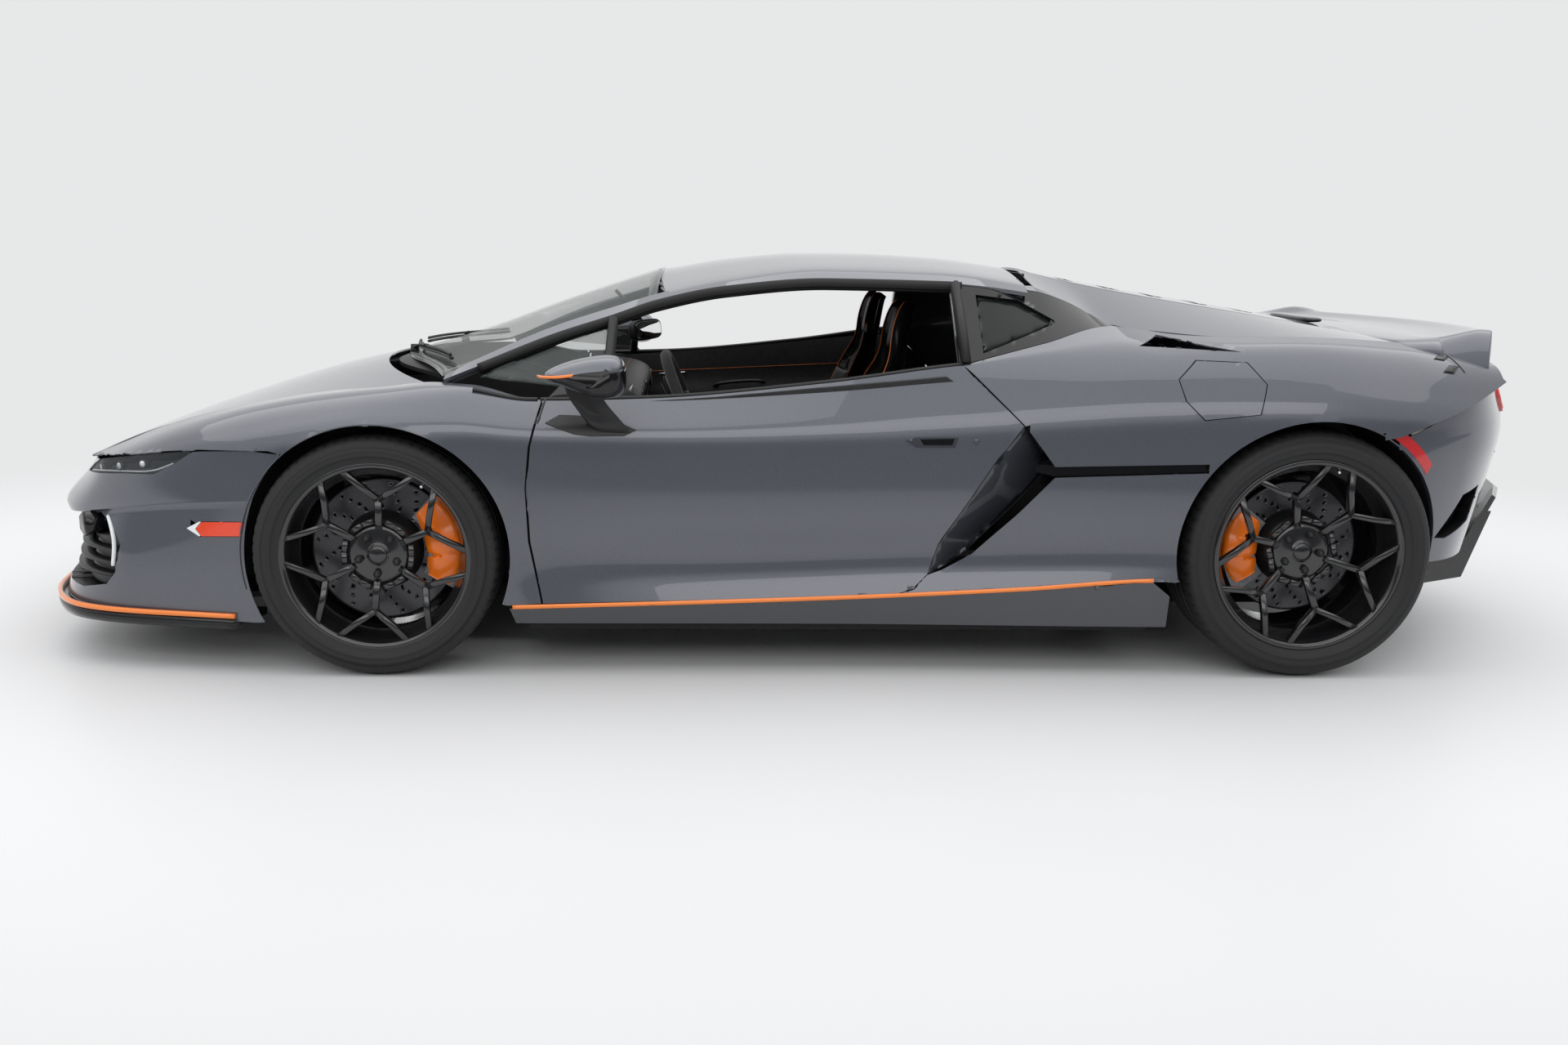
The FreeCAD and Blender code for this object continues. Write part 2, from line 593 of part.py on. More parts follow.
def windscreen():
    """The windscreen, from the cowl to the roof rail."""
    side = [(-1085, 765, 838), (-972, 712, 884), (-772, 648, 965), (-604, 608, 1023), (-484, 585, 1062)]
    middle = [(-1312, 0, 849), (-1120, 0, 902), (-860, 0, 1005), (-640, 0, 1083), (-475, 0, 1138)]
    rows = []
    for (ex, ey, ez), (mx, my, mz) in zip(side, middle):
        rows.append([(ex, ey, ez), (ex * 0.65 + mx * 0.35, 470, ez * 0.5 + mz * 0.5),
                     (ex * 0.15 + mx * 0.85, 240, ez * 0.12 + mz * 0.88), (mx, my, mz)])
    return row_sheet(rows, Vector(2.2, 0, size("glass")))


def roof_frame():
    """Roof panel, windscreen pillars, side rails and the black posts behind the doors, one welded frame."""
    roof = skin_between(["rail_foot", "rail_top", "roof_middle"], -460, 640, 9, size("roof_skin"), True)
    pillar = skin_between(["rail_foot", "rail_top"], -1078, -440, 7, 30)
    post = skin_between(["crown", "rail_foot", "rail_top"], 392, 860, 5, 22)
    post = post.cut(side_prism(SIDE_PANE_REAR, -1200, -400))
    post = post.cut(side_prism(grown(DOOR_OUTLINE, DOOR_GAP / 2), -1200, -700))
    divider = bar(at(-616, -822, 806), at(-600, -668, 1012), 30, 26)
    side = pillar.fuse([post, divider])
    return roof.fuse([side, mirrored(side)] + cover_brackets())


def cabin_tub():
    """Floor, sills, bulkheads, tunnel, wheel-house plates and rails, one carbon and aluminium structure."""
    floor = plan_prism([(-1900, -520), (-1640, -520), (-880, -560), (-838, -880), (960, -880), (985, -540),
                        (1645, -540), (1645, 540), (985, 540), (960, 880), (-838, 880), (-880, 560),
                        (-1640, 520), (-1900, 520)], FLOOR_Z, FLOOR_TOP)
    sill = plan_prism([(-836, -776), (640, -776), (640, -690), (-836, -690)], FLOOR_Z + 1, above(318))
    shelf = plan_prism([(-830, -950), (940, -950), (940, -700), (-830, -700)], FLOOR_Z + 1, above(192))
    shelf = shelf.common(under_skin(["skirt_foot", "stripe"], -900, 1010, 9, SKIRT_DEPTH + SEAT))
    dash_wall = plan_prism([(-838, -770), (-822, -770), (-822, 770), (-838, 770)], FLOOR_Z + 1, above(700))
    rear_wall = plan_prism([(655, -776), (671, -776), (671, 776), (655, 776)], FLOOR_Z + 1, above(884.7))
    tunnel = plan_prism([(-823, -120), (656, -150), (656, 150), (-823, 120)], FLOOR_Z + 1, above(330))
    inner = size("apron_inner")
    outer = inner + size("apron_thickness")
    front_plate = side_prism([(-1899, 123), (-837, 123), (-837, 700), (-1130, 742), (-1400, 722), (-1700, 655),
                              (-1899, 575)], -outer, -inner)
    rear_plate = side_prism([(656, 123), (1644, 123), (1644, 300), (1950, 300), (1950, 760), (1500, 850),
                             (656, 884)], -outer, -inner)
    front_rail = box(along(-2120), along(-823), -inner - 1, -inner + 45, above(300), above(400))
    rear_rail = box(along(656), along(1990), -inner - 1, -size("engine_half_width") - SEAT, above(330), above(440))
    beam = box(along(-2160), along(-2110), -600, 600, above(300), above(400))
    tail_beam = box(along(1985), along(2030), -600, 600, above(330), above(440))
    crush = box(along(-2256), along(-2150), -245, -195, above(310), above(375))
    tail_crush = box(along(2020), along(2180), -260, -200, above(345), above(425))
    pieces = [sill, shelf, front_plate, rear_plate, front_rail, rear_rail, crush, tail_crush] + door_hinges()
    pieces += [mirrored(p) for p in pieces]
    whole = floor.fuse(pieces + [dash_wall, rear_wall, tunnel, beam, tail_beam] + hood_brackets())
    return whole


def seat(side):
    """A bucket seat: base shell, back shell with wings and headrest."""
    y = side * 390
    base = box(along(-310), along(190), y - 220, y + 220, FLOOR_TOP + SEAT, above(250))
    cushion = side_prism([(-310, 250), (190, 235), (190, 300), (-300, 345)], y - 160, y + 160)
    wing = side_prism([(-300, 250), (200, 240), (215, 420), (-60, 330), (-280, 360)], y - 220, y - 155)
    back = side_prism([(110, 240), (250, 250), (430, 760), (480, 1010), (420, 1040), (350, 1000), (330, 780)],
                      y - 170, y + 170)
    back_wing = side_prism([(70, 300), (250, 250), (420, 740), (430, 800), (300, 780)], y - 225, y - 165)
    far = Vector(0, 375, 0)
    far_back = Vector(0, 390, 0)
    return base.fuse([cushion, wing, wing.translated(far), back, back_wing, back_wing.translated(far_back)])


STEER_HUB = at(-395, -390, 708)
STEER_AXIS = Vector(math.cos(math.radians(22)), 0, math.sin(math.radians(22)))


def dashboard():
    """Dashboard moulding with the driver's hood and the centre console."""
    top = side_prism([(-821.7, 560), (-560, 520), (-480, 640), (-520, 745), (-640, 775), (-821.7, 785)], -690, 690)
    console = plan_prism([(-560, -115), (150, -135), (150, 135), (-560, 115)], above(331), above(430))
    ramp = side_prism([(-600, 430), (-300, 430), (-490, 640), (-600, 640)], -115, 115)
    foot = STEER_HUB - STEER_AXIS * 160
    column = bar(foot, STEER_HUB - STEER_AXIS * (20 + SEAT), 60, 50)
    return top.fuse([console, ramp, column])


def steering_wheel():
    """Steering wheel with three spokes, square to its column."""
    up = Vector(-STEER_AXIS.z, 0, STEER_AXIS.x)
    facing = Rotation(up.cross(STEER_AXIS) * -1, up, STEER_AXIS, "ZYX")
    rim = bound("Part::Torus", "WheelRim", {"Radius1": "Sizes.steering_rim_radius",
                                            "Radius2": "Sizes.steering_rim_thickness / 2"})
    rim.Placement = Placement(STEER_HUB, facing)
    hub = bound("Part::Cylinder", "WheelHub", {"Radius": "Sizes.steering_hub_radius",
                                               "Height": "Sizes.steering_hub_depth"})
    hub.Placement = Placement(STEER_HUB - STEER_AXIS * 20, facing)
    spokes = []
    for turn in (90, -90, 180):
        out = up * math.cos(math.radians(turn)) + Vector(0, 1, 0) * math.sin(math.radians(turn))
        beside = STEER_AXIS.cross(out)
        spoke = bound("Part::Box", f"WheelSpoke_{turn % 360}", {
            "Length": "Sizes.steering_rim_radius - 46", "Width": "Sizes.steering_spoke_width",
            "Height": "Sizes.steering_spoke_depth"})
        corner = STEER_HUB + out * 40 - beside * (size("steering_spoke_width") / 2)
        corner = corner - STEER_AXIS * (size("steering_spoke_depth") / 2)
        spoke.Placement = Placement(corner, Rotation(out, beside, STEER_AXIS, "ZXY"))
        spokes.append(spoke)
    return joined("Part::MultiFuse", "SteeringWheelWhole", hub, spokes + [rim])


def tyre(end, side_name):
    """A tyre: a cylinder across the car with rounded shoulders, bored to the rim."""
    name = f"{end}_{side_name}"
    axle = "-0.5 + Sizes.overhang_share" + ("" if end == "front" else " + Sizes.wheelbase_share")
    sign = "-1" if side_name == "left" else "1"
    place = {"Placement.Base.x": f"Sizes.overall_length * ({axle})",
             "Placement.Base.z": f"Sizes.{end}_tyre_radius"}
    middle = f"{sign} * Sizes.{end}_track / 2"
    solid = bound("Part::Cylinder", "TyreBody_" + name, {
        "Radius": f"Sizes.{end}_tyre_radius", "Height": f"Sizes.{end}_tyre_width",
        "Placement.Base.y": f"{middle} - Sizes.{end}_tyre_width / 2", **place}, CROSSWISE)
    doc.recompute()
    shoulder = size("tyre_shoulder")
    rounded = doc.addObject("Part::Fillet", "TyreShoulders_" + name)
    rounded.Base = solid
    rounded.Edges = [(number, shoulder, shoulder) for number, edge in enumerate(solid.Shape.Edges, start=1)
                     if isinstance(edge.Curve, Part.Circle)]
    bore = bound("Part::Cylinder", "TyreBore_" + name, {
        "Radius": f"Sizes.{end}_rim_radius + Sizes.seat_gap", "Height": f"Sizes.{end}_tyre_width * 2",
        "Placement.Base.y": f"{middle} - Sizes.{end}_tyre_width", **place}, CROSSWISE)
    return joined("Part::Cut", "Tyre_" + name, rounded, [bore])


def wheel(x, side, track, radius, width, rim_radius, disc_radius, dish_in, phase):
    """Rim with its barrel and Y-shaped spokes, and the brake disc with its hat, bolted together."""
    mid = side * track / 2
    face = mid + side * (width / 2 - 14)
    back = mid - side * (width / 2 - 12)
    lo, hi = min(face, back), max(face, back)
    barrel = ring_across(x, radius, rim_radius, rim_radius - size("rim_barrel"), lo, hi)
    hub_face = face - side * dish_in
    # the spoke pattern in side view, cut from a dished band
    bars = []
    fork_r = 0.627 * rim_radius
    w = size("spoke_width")
    step = 360.0 / size("spoke_forks")
    for k in range(int(size("spoke_forks"))):
        a = math.radians(phase + k * step)
        fork = Vector(x + fork_r * math.cos(a), 0, radius + fork_r * math.sin(a))
        root = Vector(x + 70 * math.cos(a), 0, radius + 70 * math.sin(a))
        pieces = [(root, fork)]
        for turn in (-22.5, 22.5):
            b = a + math.radians(turn)
            pieces.append((fork, Vector(x + (rim_radius - 4) * math.cos(b), 0,
                                        radius + (rim_radius - 4) * math.sin(b))))
        for p, q in pieces:
            run = (q - p).normalize()
            p, q = p - run * (w / 3), q + run * 2
            n = Vector(run.z, 0, -run.x) * (w / 2)
            ring = [p - n, p + n, q + n, q - n]
            face_poly = Part.Face(Part.makePolygon(ring + ring[:1]))
            low_y = min(face, hub_face) - 60
            bars.append(face_poly.translated(Vector(0, low_y, 0)).extrude(Vector(0, 180, 0)))
    star = bars[0].fuse(bars[1:])
    depth = size("spoke_depth")
    outline = [Vector(0, 0, 0), Vector(0, hub_face, 0), Vector(88, hub_face, 0), Vector(rim_radius, face, 0),
               Vector(rim_radius, face - side * depth, 0), Vector(88, hub_face - side * depth, 0),
               Vector(0, hub_face - side * depth, 0)]
    outline = outline[1:]
    dish = Part.Face(Part.makePolygon(outline + outline[:1])).revolve(Vector(0, 0, 0), Vector(0, 1, 0), 360)
    dish = dish.translated(Vector(x, 0, radius))
    star = star.common(dish)
    hub_lo, hub_hi = sorted((hub_face + side * 4, hub_face - side * 50))
    hub = across_cylinder(x, radius, 92, hub_lo, hub_hi)
    disc_mid = hub_face - side * size("disc_offset")
    half = size("disc_thickness") / 2
    disc = ring_across(x, radius, disc_radius, 96, disc_mid - half, disc_mid + half)
    hat_lo, hat_hi = sorted((hub_face - side * 48, disc_mid - side * half))
    hat = ring_across(x, radius, 98, 78, hat_lo, hat_hi)
    bore_lo, bore_hi = sorted((hub_face - side * 16, disc_mid - side * 60))
    bore = across_cylinder(x, radius, size("hub_bore"), bore_lo, bore_hi)
    return barrel.fuse([star, hub, disc, hat]).cut(bore)


def ball_offset(width, dish):
    """How far the ball joints stand inboard of the tyre's middle."""
    face = width / 2 - 14
    return size("disc_offset") + dish - face + size("disc_thickness") / 2 + 27


UPPER_BALL = 178
LOWER_BALL = -163


def knuckle(x, side, track, radius, width, disc_radius, dish, caliper_angle):
    """Wheel carrier: spindle in the wheel's bore, upright between its ball joints, and the brake caliper."""
    mid = side * track / 2
    hub_face = mid + side * (width / 2 - 14 - dish)
    disc_mid = hub_face - side * size("disc_offset")
    ball_y = mid - side * ball_offset(width, dish)
    lo, hi = sorted((hub_face - side * 22, ball_y))
    spindle = across_cylinder(x, radius, size("hub_bore") - size("bearing_gap"), lo, hi)
    lo, hi = sorted((ball_y + side * 18, ball_y - side * 18))
    carrier = across_cylinder(x, radius, 66, lo, hi)
    clear = size("ball_radius") + 0.5
    foot_z, head_z = radius + LOWER_BALL + clear, radius + UPPER_BALL - clear
    stud = 26
    post = box(x - 26, x + 26, lo, hi, foot_z + stud, head_z - stud)
    for stud_z in (foot_z, head_z - stud):
        post = post.fuse(Part.makeCylinder(size("ball_radius") - 2, stud, Vector(x, ball_y, stud_z)))
    half = size("disc_thickness") / 2
    out_r = disc_radius + 22
    lo, hi = sorted((disc_mid + side * (half + 38), disc_mid - side * (half + 38)))
    block = ring_across(x, radius, out_r, disc_radius - 72, lo, hi)
    slot = across_cylinder(x, radius, disc_radius + 5, disc_mid - half - 5, disc_mid + half + 5)
    start = math.radians(caliper_angle - 38)
    end = math.radians(caliper_angle + 38)
    reach = out_r * 2
    wedge = [(x, radius), (x + reach * math.cos(start), radius + reach * math.sin(start)),
             (x + reach * math.cos((start + end) / 2), radius + reach * math.sin((start + end) / 2)),
             (x + reach * math.cos(end), radius + reach * math.sin(end))]
    ring = [Vector(px, -1300, pz) for px, pz in wedge]
    sector = Part.Face(Part.makePolygon(ring + ring[:1])).extrude(Vector(0, 2600, 0))
    caliper = block.common(sector).cut(slot)
    a = math.radians(caliper_angle)
    lug_y = disc_mid - side * (half + 32)
    lug = bar(Vector(x + 40 * math.cos(a), lug_y, radius + 40 * math.sin(a)),
              Vector(x + (disc_radius - 40) * math.cos(a), lug_y, radius + (disc_radius - 40) * math.sin(a)),
              16, 70)
    return spindle.fuse([carrier, post, caliper, lug])


def suspension():
    """Wishbones from the wheel-house plates to the wheel carriers, front and rear."""
    arms = []
    pivot_y = -(size("apron_inner") + size("apron_thickness") + SEAT + 20)
    for end, x, radius in (("front", FRONT_AXLE_X, FRONT_TYRE_R), ("rear", REAR_AXLE_X, REAR_TYRE_R)):
        width, dish = size(end + "_tyre_width"), size(end + "_dish")
        joint_y = -(size(end + "_track") / 2 - ball_offset(width, dish))
        for z, joint_z in ((radius - 125, radius + LOWER_BALL), (radius + 130, radius + UPPER_BALL)):
            tip = Vector(x, joint_y, joint_z)
            for dx in (-160, 160):
                arms.append(bar(Vector(x + dx, pivot_y, z), tip, 26, 20))
            arms.append(Part.makeSphere(size("ball_radius"), tip))
            arms.append(box(x - 205, x + 205, pivot_y - 20, pivot_y + 20, z - 18, z + 18))
        arms.append(box(x - 30, x + 30, pivot_y - 20, pivot_y + 20, radius - 125, radius + 130))
    left = arms[0].fuse(arms[1:])
    return left.fuse(mirrored(left))


def arch_liners():
    """Wheel-arch liners, from the wheel-house plates out to the backs of the outer skins."""
    inner_y = -(size("apron_inner") + size("apron_thickness") + SEAT)
    front_space = under_skin(SIDE_LINES, -1950, -780, 9, SKIN + SEAT)
    rear_space = under_skin(SIDE_LINES, 800, 1960, 9, SKIN + SEAT)
    pieces = []
    for x, radius, arch, space in (
            (FRONT_AXLE_X, FRONT_TYRE_R, size("front_arch_radius") + 26, front_space),
            (REAR_AXLE_X, REAR_TYRE_R, size("rear_arch_radius") + 18, rear_space)):
        shell = ring_across(x, radius, arch + 4, arch, -1000, inner_y)
        shell = shell.common(box(x - 600, x + 600, -1200, 0, radius + 30, 1200)).common(space)
        shell = largest(shell.cut(BUMPER.fuse([TAIL_BUMPER, LEFT_FENDER])))
        pieces += [shell, mirrored(shell)]
    return Part.makeCompound(pieces)


def wiper_cowl():
    """The cowl below the windscreen with two parked wipers."""
    rows = [[(-1118, 675, 794), (-1150, 470, 812), (-1300, 240, 822), (-1352, 0, 826)],
            [(-1072, 675, 824), (-1100, 470, 842), (-1242, 240, 848), (-1285, 0, 850)]]
    cowl = row_sheet(rows, Vector(0, 0, 12))
    return largest(cowl.cut(SCREEN.fuse(ROOF)))


COVER_PIN = (along(700), above(1108))


def cover_brackets():
    """The bent arms behind the roof that carry the lid's hinge pins, low enough for its open edge."""
    pin_x, pin_z = COVER_PIN
    arms = []
    for y in (-217, 217):
        hole = across_cylinder(pin_x, pin_z, size("hinge_pin") + size("hinge_play"), y - 20, y + 20)
        knee = Vector(along(650), y, above(1107))
        arm = bar(Vector(along(622), y, above(1136)), knee, 16, 14)
        foot = bar(knee - Vector(5, 0, 0), Vector(pin_x, y, pin_z), 16, 14)
        eye = across_cylinder(pin_x, pin_z, size("hinge_pin") + 6, y - 8, y + 8)
        arms.append(arm.fuse([foot, eye]).cut(hole))
    return arms


def engine_cover():
    """The lid over the engine, with louvres across it."""
    rows = []
    for x in stations(690, 1640, 8):
        ey, ez = on_line("deck_spine", x)
        mz = on_line("deck_middle", x)[1]
        rows.append([(x, ey - GAP - 9, ez - 2), (x, ey * 0.5, (ez + mz) / 2 + 3), (x, 0, mz)])
    lid = row_sheet(rows, Vector(0, 0, 12))
    pin_x, pin_z = COVER_PIN
    for y in (-240, 240):
        lo, hi = sorted((y, y - math.copysign(34, y)))
        lid = lid.fuse([box(pin_x - 12, pin_x + 16, y - 5, y + 5, pin_z - 14, pin_z + 34),
                        across_cylinder(pin_x, pin_z, size("hinge_pin"), lo, hi)])
    for x in stations(800, 1400, 5):
        lid = lid.cut(box(along(x), along(x + 45), -250, 250, above(900), above(1250)))
    above_lid = row_sheet([[(x, y, z + 60) for x, y, z in row] for row in rows], Vector(0, 0, 60))
    return largest(lid.cut(above_lid))


def rear_spoiler():
    """The ducktail over the tail, one moulded wing section."""
    wires = []
    for y in stations(-760, 760, 9):
        share = abs(y) / 760
        lip = 2195 - 185 * share ** 2
        front = 1650 + 50 * share ** 2
        drop = 18 * share ** 4
        pts = [(front, 955), (front + 10, 985), (front + 130, 1003), (lip - 90, 996), (lip - 5, 985), (lip, 965),
               (lip - 15, 872), (lip - 60, 872), (lip - 60, 930), (front + 120, 940)]
        ring = [at(x, y, z - drop) for x, z in pts]
        wires.append(Part.makePolygon(ring + ring[:1]))
    return Part.makeLoft(wires, True, True)


def rear_bumper():
    """The rear bumper round to the wheel arches, with the grille opening across it."""
    levels = [
        (330, [(2200, 0), (2180, 300), (2050, 600), (1915, 810), (1700, 900), (1600, 950)]),
        (500, [(2262, 0), (2232, 300), (2097, 600), (1940, 830), (1740, 930), (1600, 975)]),
        (700, [(2335, 0), (2300, 300), (2137, 600), (1965, 845), (1750, 945), (1600, 975)]),
        (845, [(2245, 0), (2218, 300), (2092, 600), (1945, 820), (1760, 905), (1600, 930)]),
    ]
    shell = level_loft(levels, 14)
    keep = [(1500, 200), (2400, 200), (2400, 872), (2015, 852), (1895, 806), (1628, 708), (1500, 660)]
    shell = shell.common(side_prism(grown(keep, -GAP / 2), -1200, 1200))
    grille = plan_prism([(2000, -560), (2400, -560), (2400, 560), (2000, 560)], above(735), above(815))
    backing = box(along(2042), along(2052), -690, 690, above(722), above(828))
    shell = shell.cut(grille).fuse(backing)
    for y in (-75, 75):
        shell = shell.cut(Part.makeCylinder(60, 600, Vector(along(2070), y, above(580)), Vector(1, 0, 0)))
    return shell.cut(REAR_ARCH.fuse(mirrored(REAR_ARCH)))


def tail_lamps():
    """The hexagonal tail lamps in the bumper."""
    lamps = []
    for y in (-455, 455):
        ring = []
        for k in range(6):
            a = math.radians(60 * k)
            ring.append(Vector(along(2052) + SEAT, y + 95 * math.cos(a), above(775) + 34 * math.sin(a)))
        lamps.append(Part.Face(Part.makePolygon(ring + ring[:1])).extrude(Vector(84, 0, 0)))
    return Part.makeCompound(lamps)


def swept_back(points, y):
    """A diffuser outline drawn at the middle, shortened towards the sides."""
    start = points[0][0]
    share = 1 - size("diffuser_sweep") * (y / DIFFUSER_HALF) ** 2
    return [(start + (x - start) * share, z) for x, z in points]


def diffuser():
    """The diffuser under the tail, swept forward at its sides, with its fins."""
    outline = [(1645.3, 128), (1665, 128), (2240, 300), (2353, 470), (2335, 480), (2220, 318), (1645.3, 144)]
    wires = []
    for y in stations(-DIFFUSER_HALF, DIFFUSER_HALF, 7):
        ring = [at(x, y, z) for x, z in swept_back(outline, y)]
        wires.append(Part.makePolygon(ring + ring[:1]))
    plate = Part.makeLoft(wires, True, True)
    fins = []
    fin = [(1645.3, 142), (1720, 138), (2230, 205), (2330, 420), (2300, 420), (2230, 310)]
    for y in stations(-520, 520, 6):
        fins.append(side_prism(swept_back(fin, y)[1:] + [(1700, 148)], y - 6, y + 6))
    return largest(plate.fuse(fins).cut(TAIL_BUMPER))


def exhaust():
    """The central exhaust: box, foot and two round tailpipes."""
    can = bound_box("Silencer", (1830, 1980), "Sizes.silencer_half_width", (500, 660))
    foot = bound_box("SilencerFoot", (1990, 2020), "100", (440, 560), "Sizes.seat_gap")
    parts = [foot]
    for name, sign in (("left", "-1"), ("right", "1")):
        offset = f"{sign} * Sizes.tailpipe_offset"
        pipe = bound("Part::Cylinder", "Tailpipe_" + name, {
            "Radius": "Sizes.tailpipe_radius", "Height": length_at(2260 - 1975), "Placement.Base.x": length_at(1975),
            "Placement.Base.y": offset, "Placement.Base.z": height_at(580)}, LENGTHWISE)
        bore = bound("Part::Cylinder", "TailpipeBore_" + name, {
            "Radius": "Sizes.tailpipe_radius - Sizes.tailpipe_wall", "Height": length_at(300),
            "Placement.Base.x": length_at(2060), "Placement.Base.y": offset, "Placement.Base.z": height_at(580)},
            LENGTHWISE)
        parts.append(joined("Part::Cut", "TailpipeWhole_" + name, pipe, [bore]))
    return joined("Part::MultiFuse", "ExhaustWhole", can, parts)


def side_glass():
    """The fixed side panes, two in front of and two behind the doors."""
    front = skin_between(["crown", "rail_foot"], -1060, -560, 5, size("glass"), False, 8)
    front = front.common(side_prism(SIDE_PANE_FRONT, -1200, -500))
    rear = skin_between(["crown", "rail_foot"], 392, 860, 5, size("glass"), False, 8)
    rear = rear.common(side_prism(grown(SIDE_PANE_REAR, -0.3), -1200, -400))
    front, rear = largest(front.cut(ROOF)), largest(rear.cut(ROOF))
    return Part.makeCompound([front, mirrored(front), rear, mirrored(rear)])


def rear_glass():
    """The upright pane between cabin and engine."""
    pane = [(-440, 885), (440, 885), (420, 1140), (-420, 1140)]
    ring = [Vector(along(645), across(y), above(z)) for y, z in pane]
    glass = Part.Face(Part.makePolygon(ring + ring[:1])).extrude(Vector(size("glass"), 0, 0))
    return largest(glass.cut(ROOF))


def engine():
    """The engine and gearbox as one plain block."""
    block = bound_box("EngineBlock", (760, 1290), "Sizes.engine_half_width", (180, 820))
    gearbox = bound_box("Gearbox", (1285, 1800), "Sizes.gearbox_half_width", (200, 560))
    return joined("Part::MultiFuse", "EngineWhole", block, [gearbox])


def mirror_left():
    """Door mirror: housing and its blade-shaped foot on the door shoulder."""
    wires = []
    for y, x0, x1, z0, z1 in ((-955, -715, -560, 820, 895), (-1040, -775, -545, 802, 925),
                              (-1123, -745, -590, 830, 895)):
        ring = [at(x0, y, (z0 + z1) / 2 - 5), at(x0 + 45, y, z0), at(x1, y, z0), at(x1, y, z1 - 10),
                at((x0 + x1) / 2 + 20, y, z1), at(x0 + 40, y, z1 - 20)]
        wires.append(Part.makePolygon(ring + ring[:1]))
    housing = Part.makeLoft(wires, True, True)
    ring = [at(-655, -905, 722), at(-560, -905, 722), at(-640, -985, 815), at(-720, -985, 815)]
    foot = Part.Face(Part.makePolygon(ring + ring[:1])).extrude(Vector(0, -22, 12))
    return largest(housing.fuse(foot).cut(LEFT_DOOR))


LEFT_DOOR = door_left()
LEFT_MIRROR = mirror_left()
LEFT_FENDER = fender_left()
LEFT_QUARTER = quarter_left(True)
PLAIN_QUARTER = quarter_left(False)
LAMP = headlamp_left()

LAMPS = LAMP.fuse(mirrored(LAMP))
BUMPER = front_bumper().cut(LAMPS)
TAIL_BUMPER = rear_bumper()
SPOILER = rear_spoiler()
ROOF = roof_frame()
SKIRT = skin_between(["skirt_foot", "stripe"], -885, 1000, 9, SKIRT_DEPTH)
SKIRT_TOP = [(x, on_line("stripe", x)[1] - 1) for x in stations(-950, 1050, 12)]
SKIRT = SKIRT.cut(side_prism(SKIRT_TOP + [(1050, 400), (-950, 400)], -1200, -700))
SCREEN = windscreen().cut(ROOF)

node("cabin_tub", largest(cabin_tub().cut(BUMPER.fuse(TAIL_BUMPER))))
node("front_bumper", BUMPER)
node("front_splitter", front_splitter())
node("fender_left", tidy(LEFT_FENDER))
node("fender_right", tidy(mirrored(LEFT_FENDER)))
node("hood", hood())
node("headlamps", Part.makeCompound([LAMP, mirrored(LAMP)]))
node("windscreen", largest(SCREEN))
node("roof_frame", ROOF)
node("side_glass", side_glass())
node("rear_glass", rear_glass())
LEFT_QUARTER = LEFT_QUARTER.cut(SPOILER).cut(ROOF)
PLAIN_QUARTER = PLAIN_QUARTER.cut(SPOILER).cut(ROOF)
node("quarter_left", tidy(LEFT_QUARTER))
node("quarter_right", tidy(mirrored(PLAIN_QUARTER)))
node("fuel_flap", fuel_flap())
node("engine_cover", engine_cover())
node("rear_spoiler", SPOILER)
node("rear_bumper", TAIL_BUMPER)
node("tail_lamps", tail_lamps())
node("diffuser", diffuser())
bound_node("exhaust", exhaust())
node("side_skirts", Part.makeCompound([SKIRT, mirrored(SKIRT)]))
node("door_left", LEFT_DOOR)
node("door_right", mirrored(LEFT_DOOR))
node("mirror_left", LEFT_MIRROR)
node("mirror_right", mirrored(LEFT_MIRROR))
bound_node("engine", engine())
node("seat_left", seat(-1))
node("seat_right", seat(1))
node("dashboard", dashboard())
bound_node("steering_wheel", steering_wheel())
node("wiper_cowl", wiper_cowl())
node("suspension", suspension())
node("arch_liners", arch_liners())

REAR_CARRIERS = []
for end in ("front", "rear"):
    axle = FRONT_AXLE_X if end == "front" else REAR_AXLE_X
    radius = size(end + "_tyre_radius")
    width = size(end + "_tyre_width")
    track = size(end + "_track")
    rim_r = size(end + "_rim_radius")
    disc_r = size(end + "_disc_radius")
    for side_name, side in (("left", -1), ("right", 1)):
        phase = 94.6 if end == "front" else 72.0
        angle = 10 if end == "front" else 180
        bound_node(f"tyre_{end}_{side_name}", tyre(end, side_name))
        node(f"wheel_{end}_{side_name}",
             wheel(axle, side, track, radius, width, rim_r, disc_r, size(end + "_dish"), phase))
        carrier = knuckle(axle, side, track, radius, width, disc_r, size(end + "_dish"), angle)
        if end == "front":
            node(f"knuckle_front_{side_name}", carrier)
        else:
            REAR_CARRIERS.append(carrier)
node("rear_carriers", Part.makeCompound(REAR_CARRIERS))

doc.recompute()
os.makedirs("parts", exist_ok=True)
unsound = [piece.Label for piece in NODES
           if "Invalid" in piece.State or "Error" in piece.State
           or piece.Shape.isNull() or not piece.Shape.isValid()]
if unsound:
    raise RuntimeError(f"Not sound: {unsound}")
for piece in NODES:
    piece.Shape.exportStep(f"parts/{piece.Label}.step")
    b = piece.Shape.optimalBoundingBox(True, False)
    print(f"{piece.Label}: {len(piece.Shape.Solids)} solids, {piece.Shape.Volume / 1e6:.2f} litres,"
          f" {b.XMin:.0f}..{b.XMax:.0f}, {b.YMin:.0f}..{b.YMax:.0f}, {b.ZMin:.0f}..{b.ZMax:.0f}")
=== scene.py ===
"""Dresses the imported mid-engined supercar: panels, glass, wheels, lamps and cabin around its CAD frame."""
import math

import bpy
import numpy as np
from mathutils import Matrix


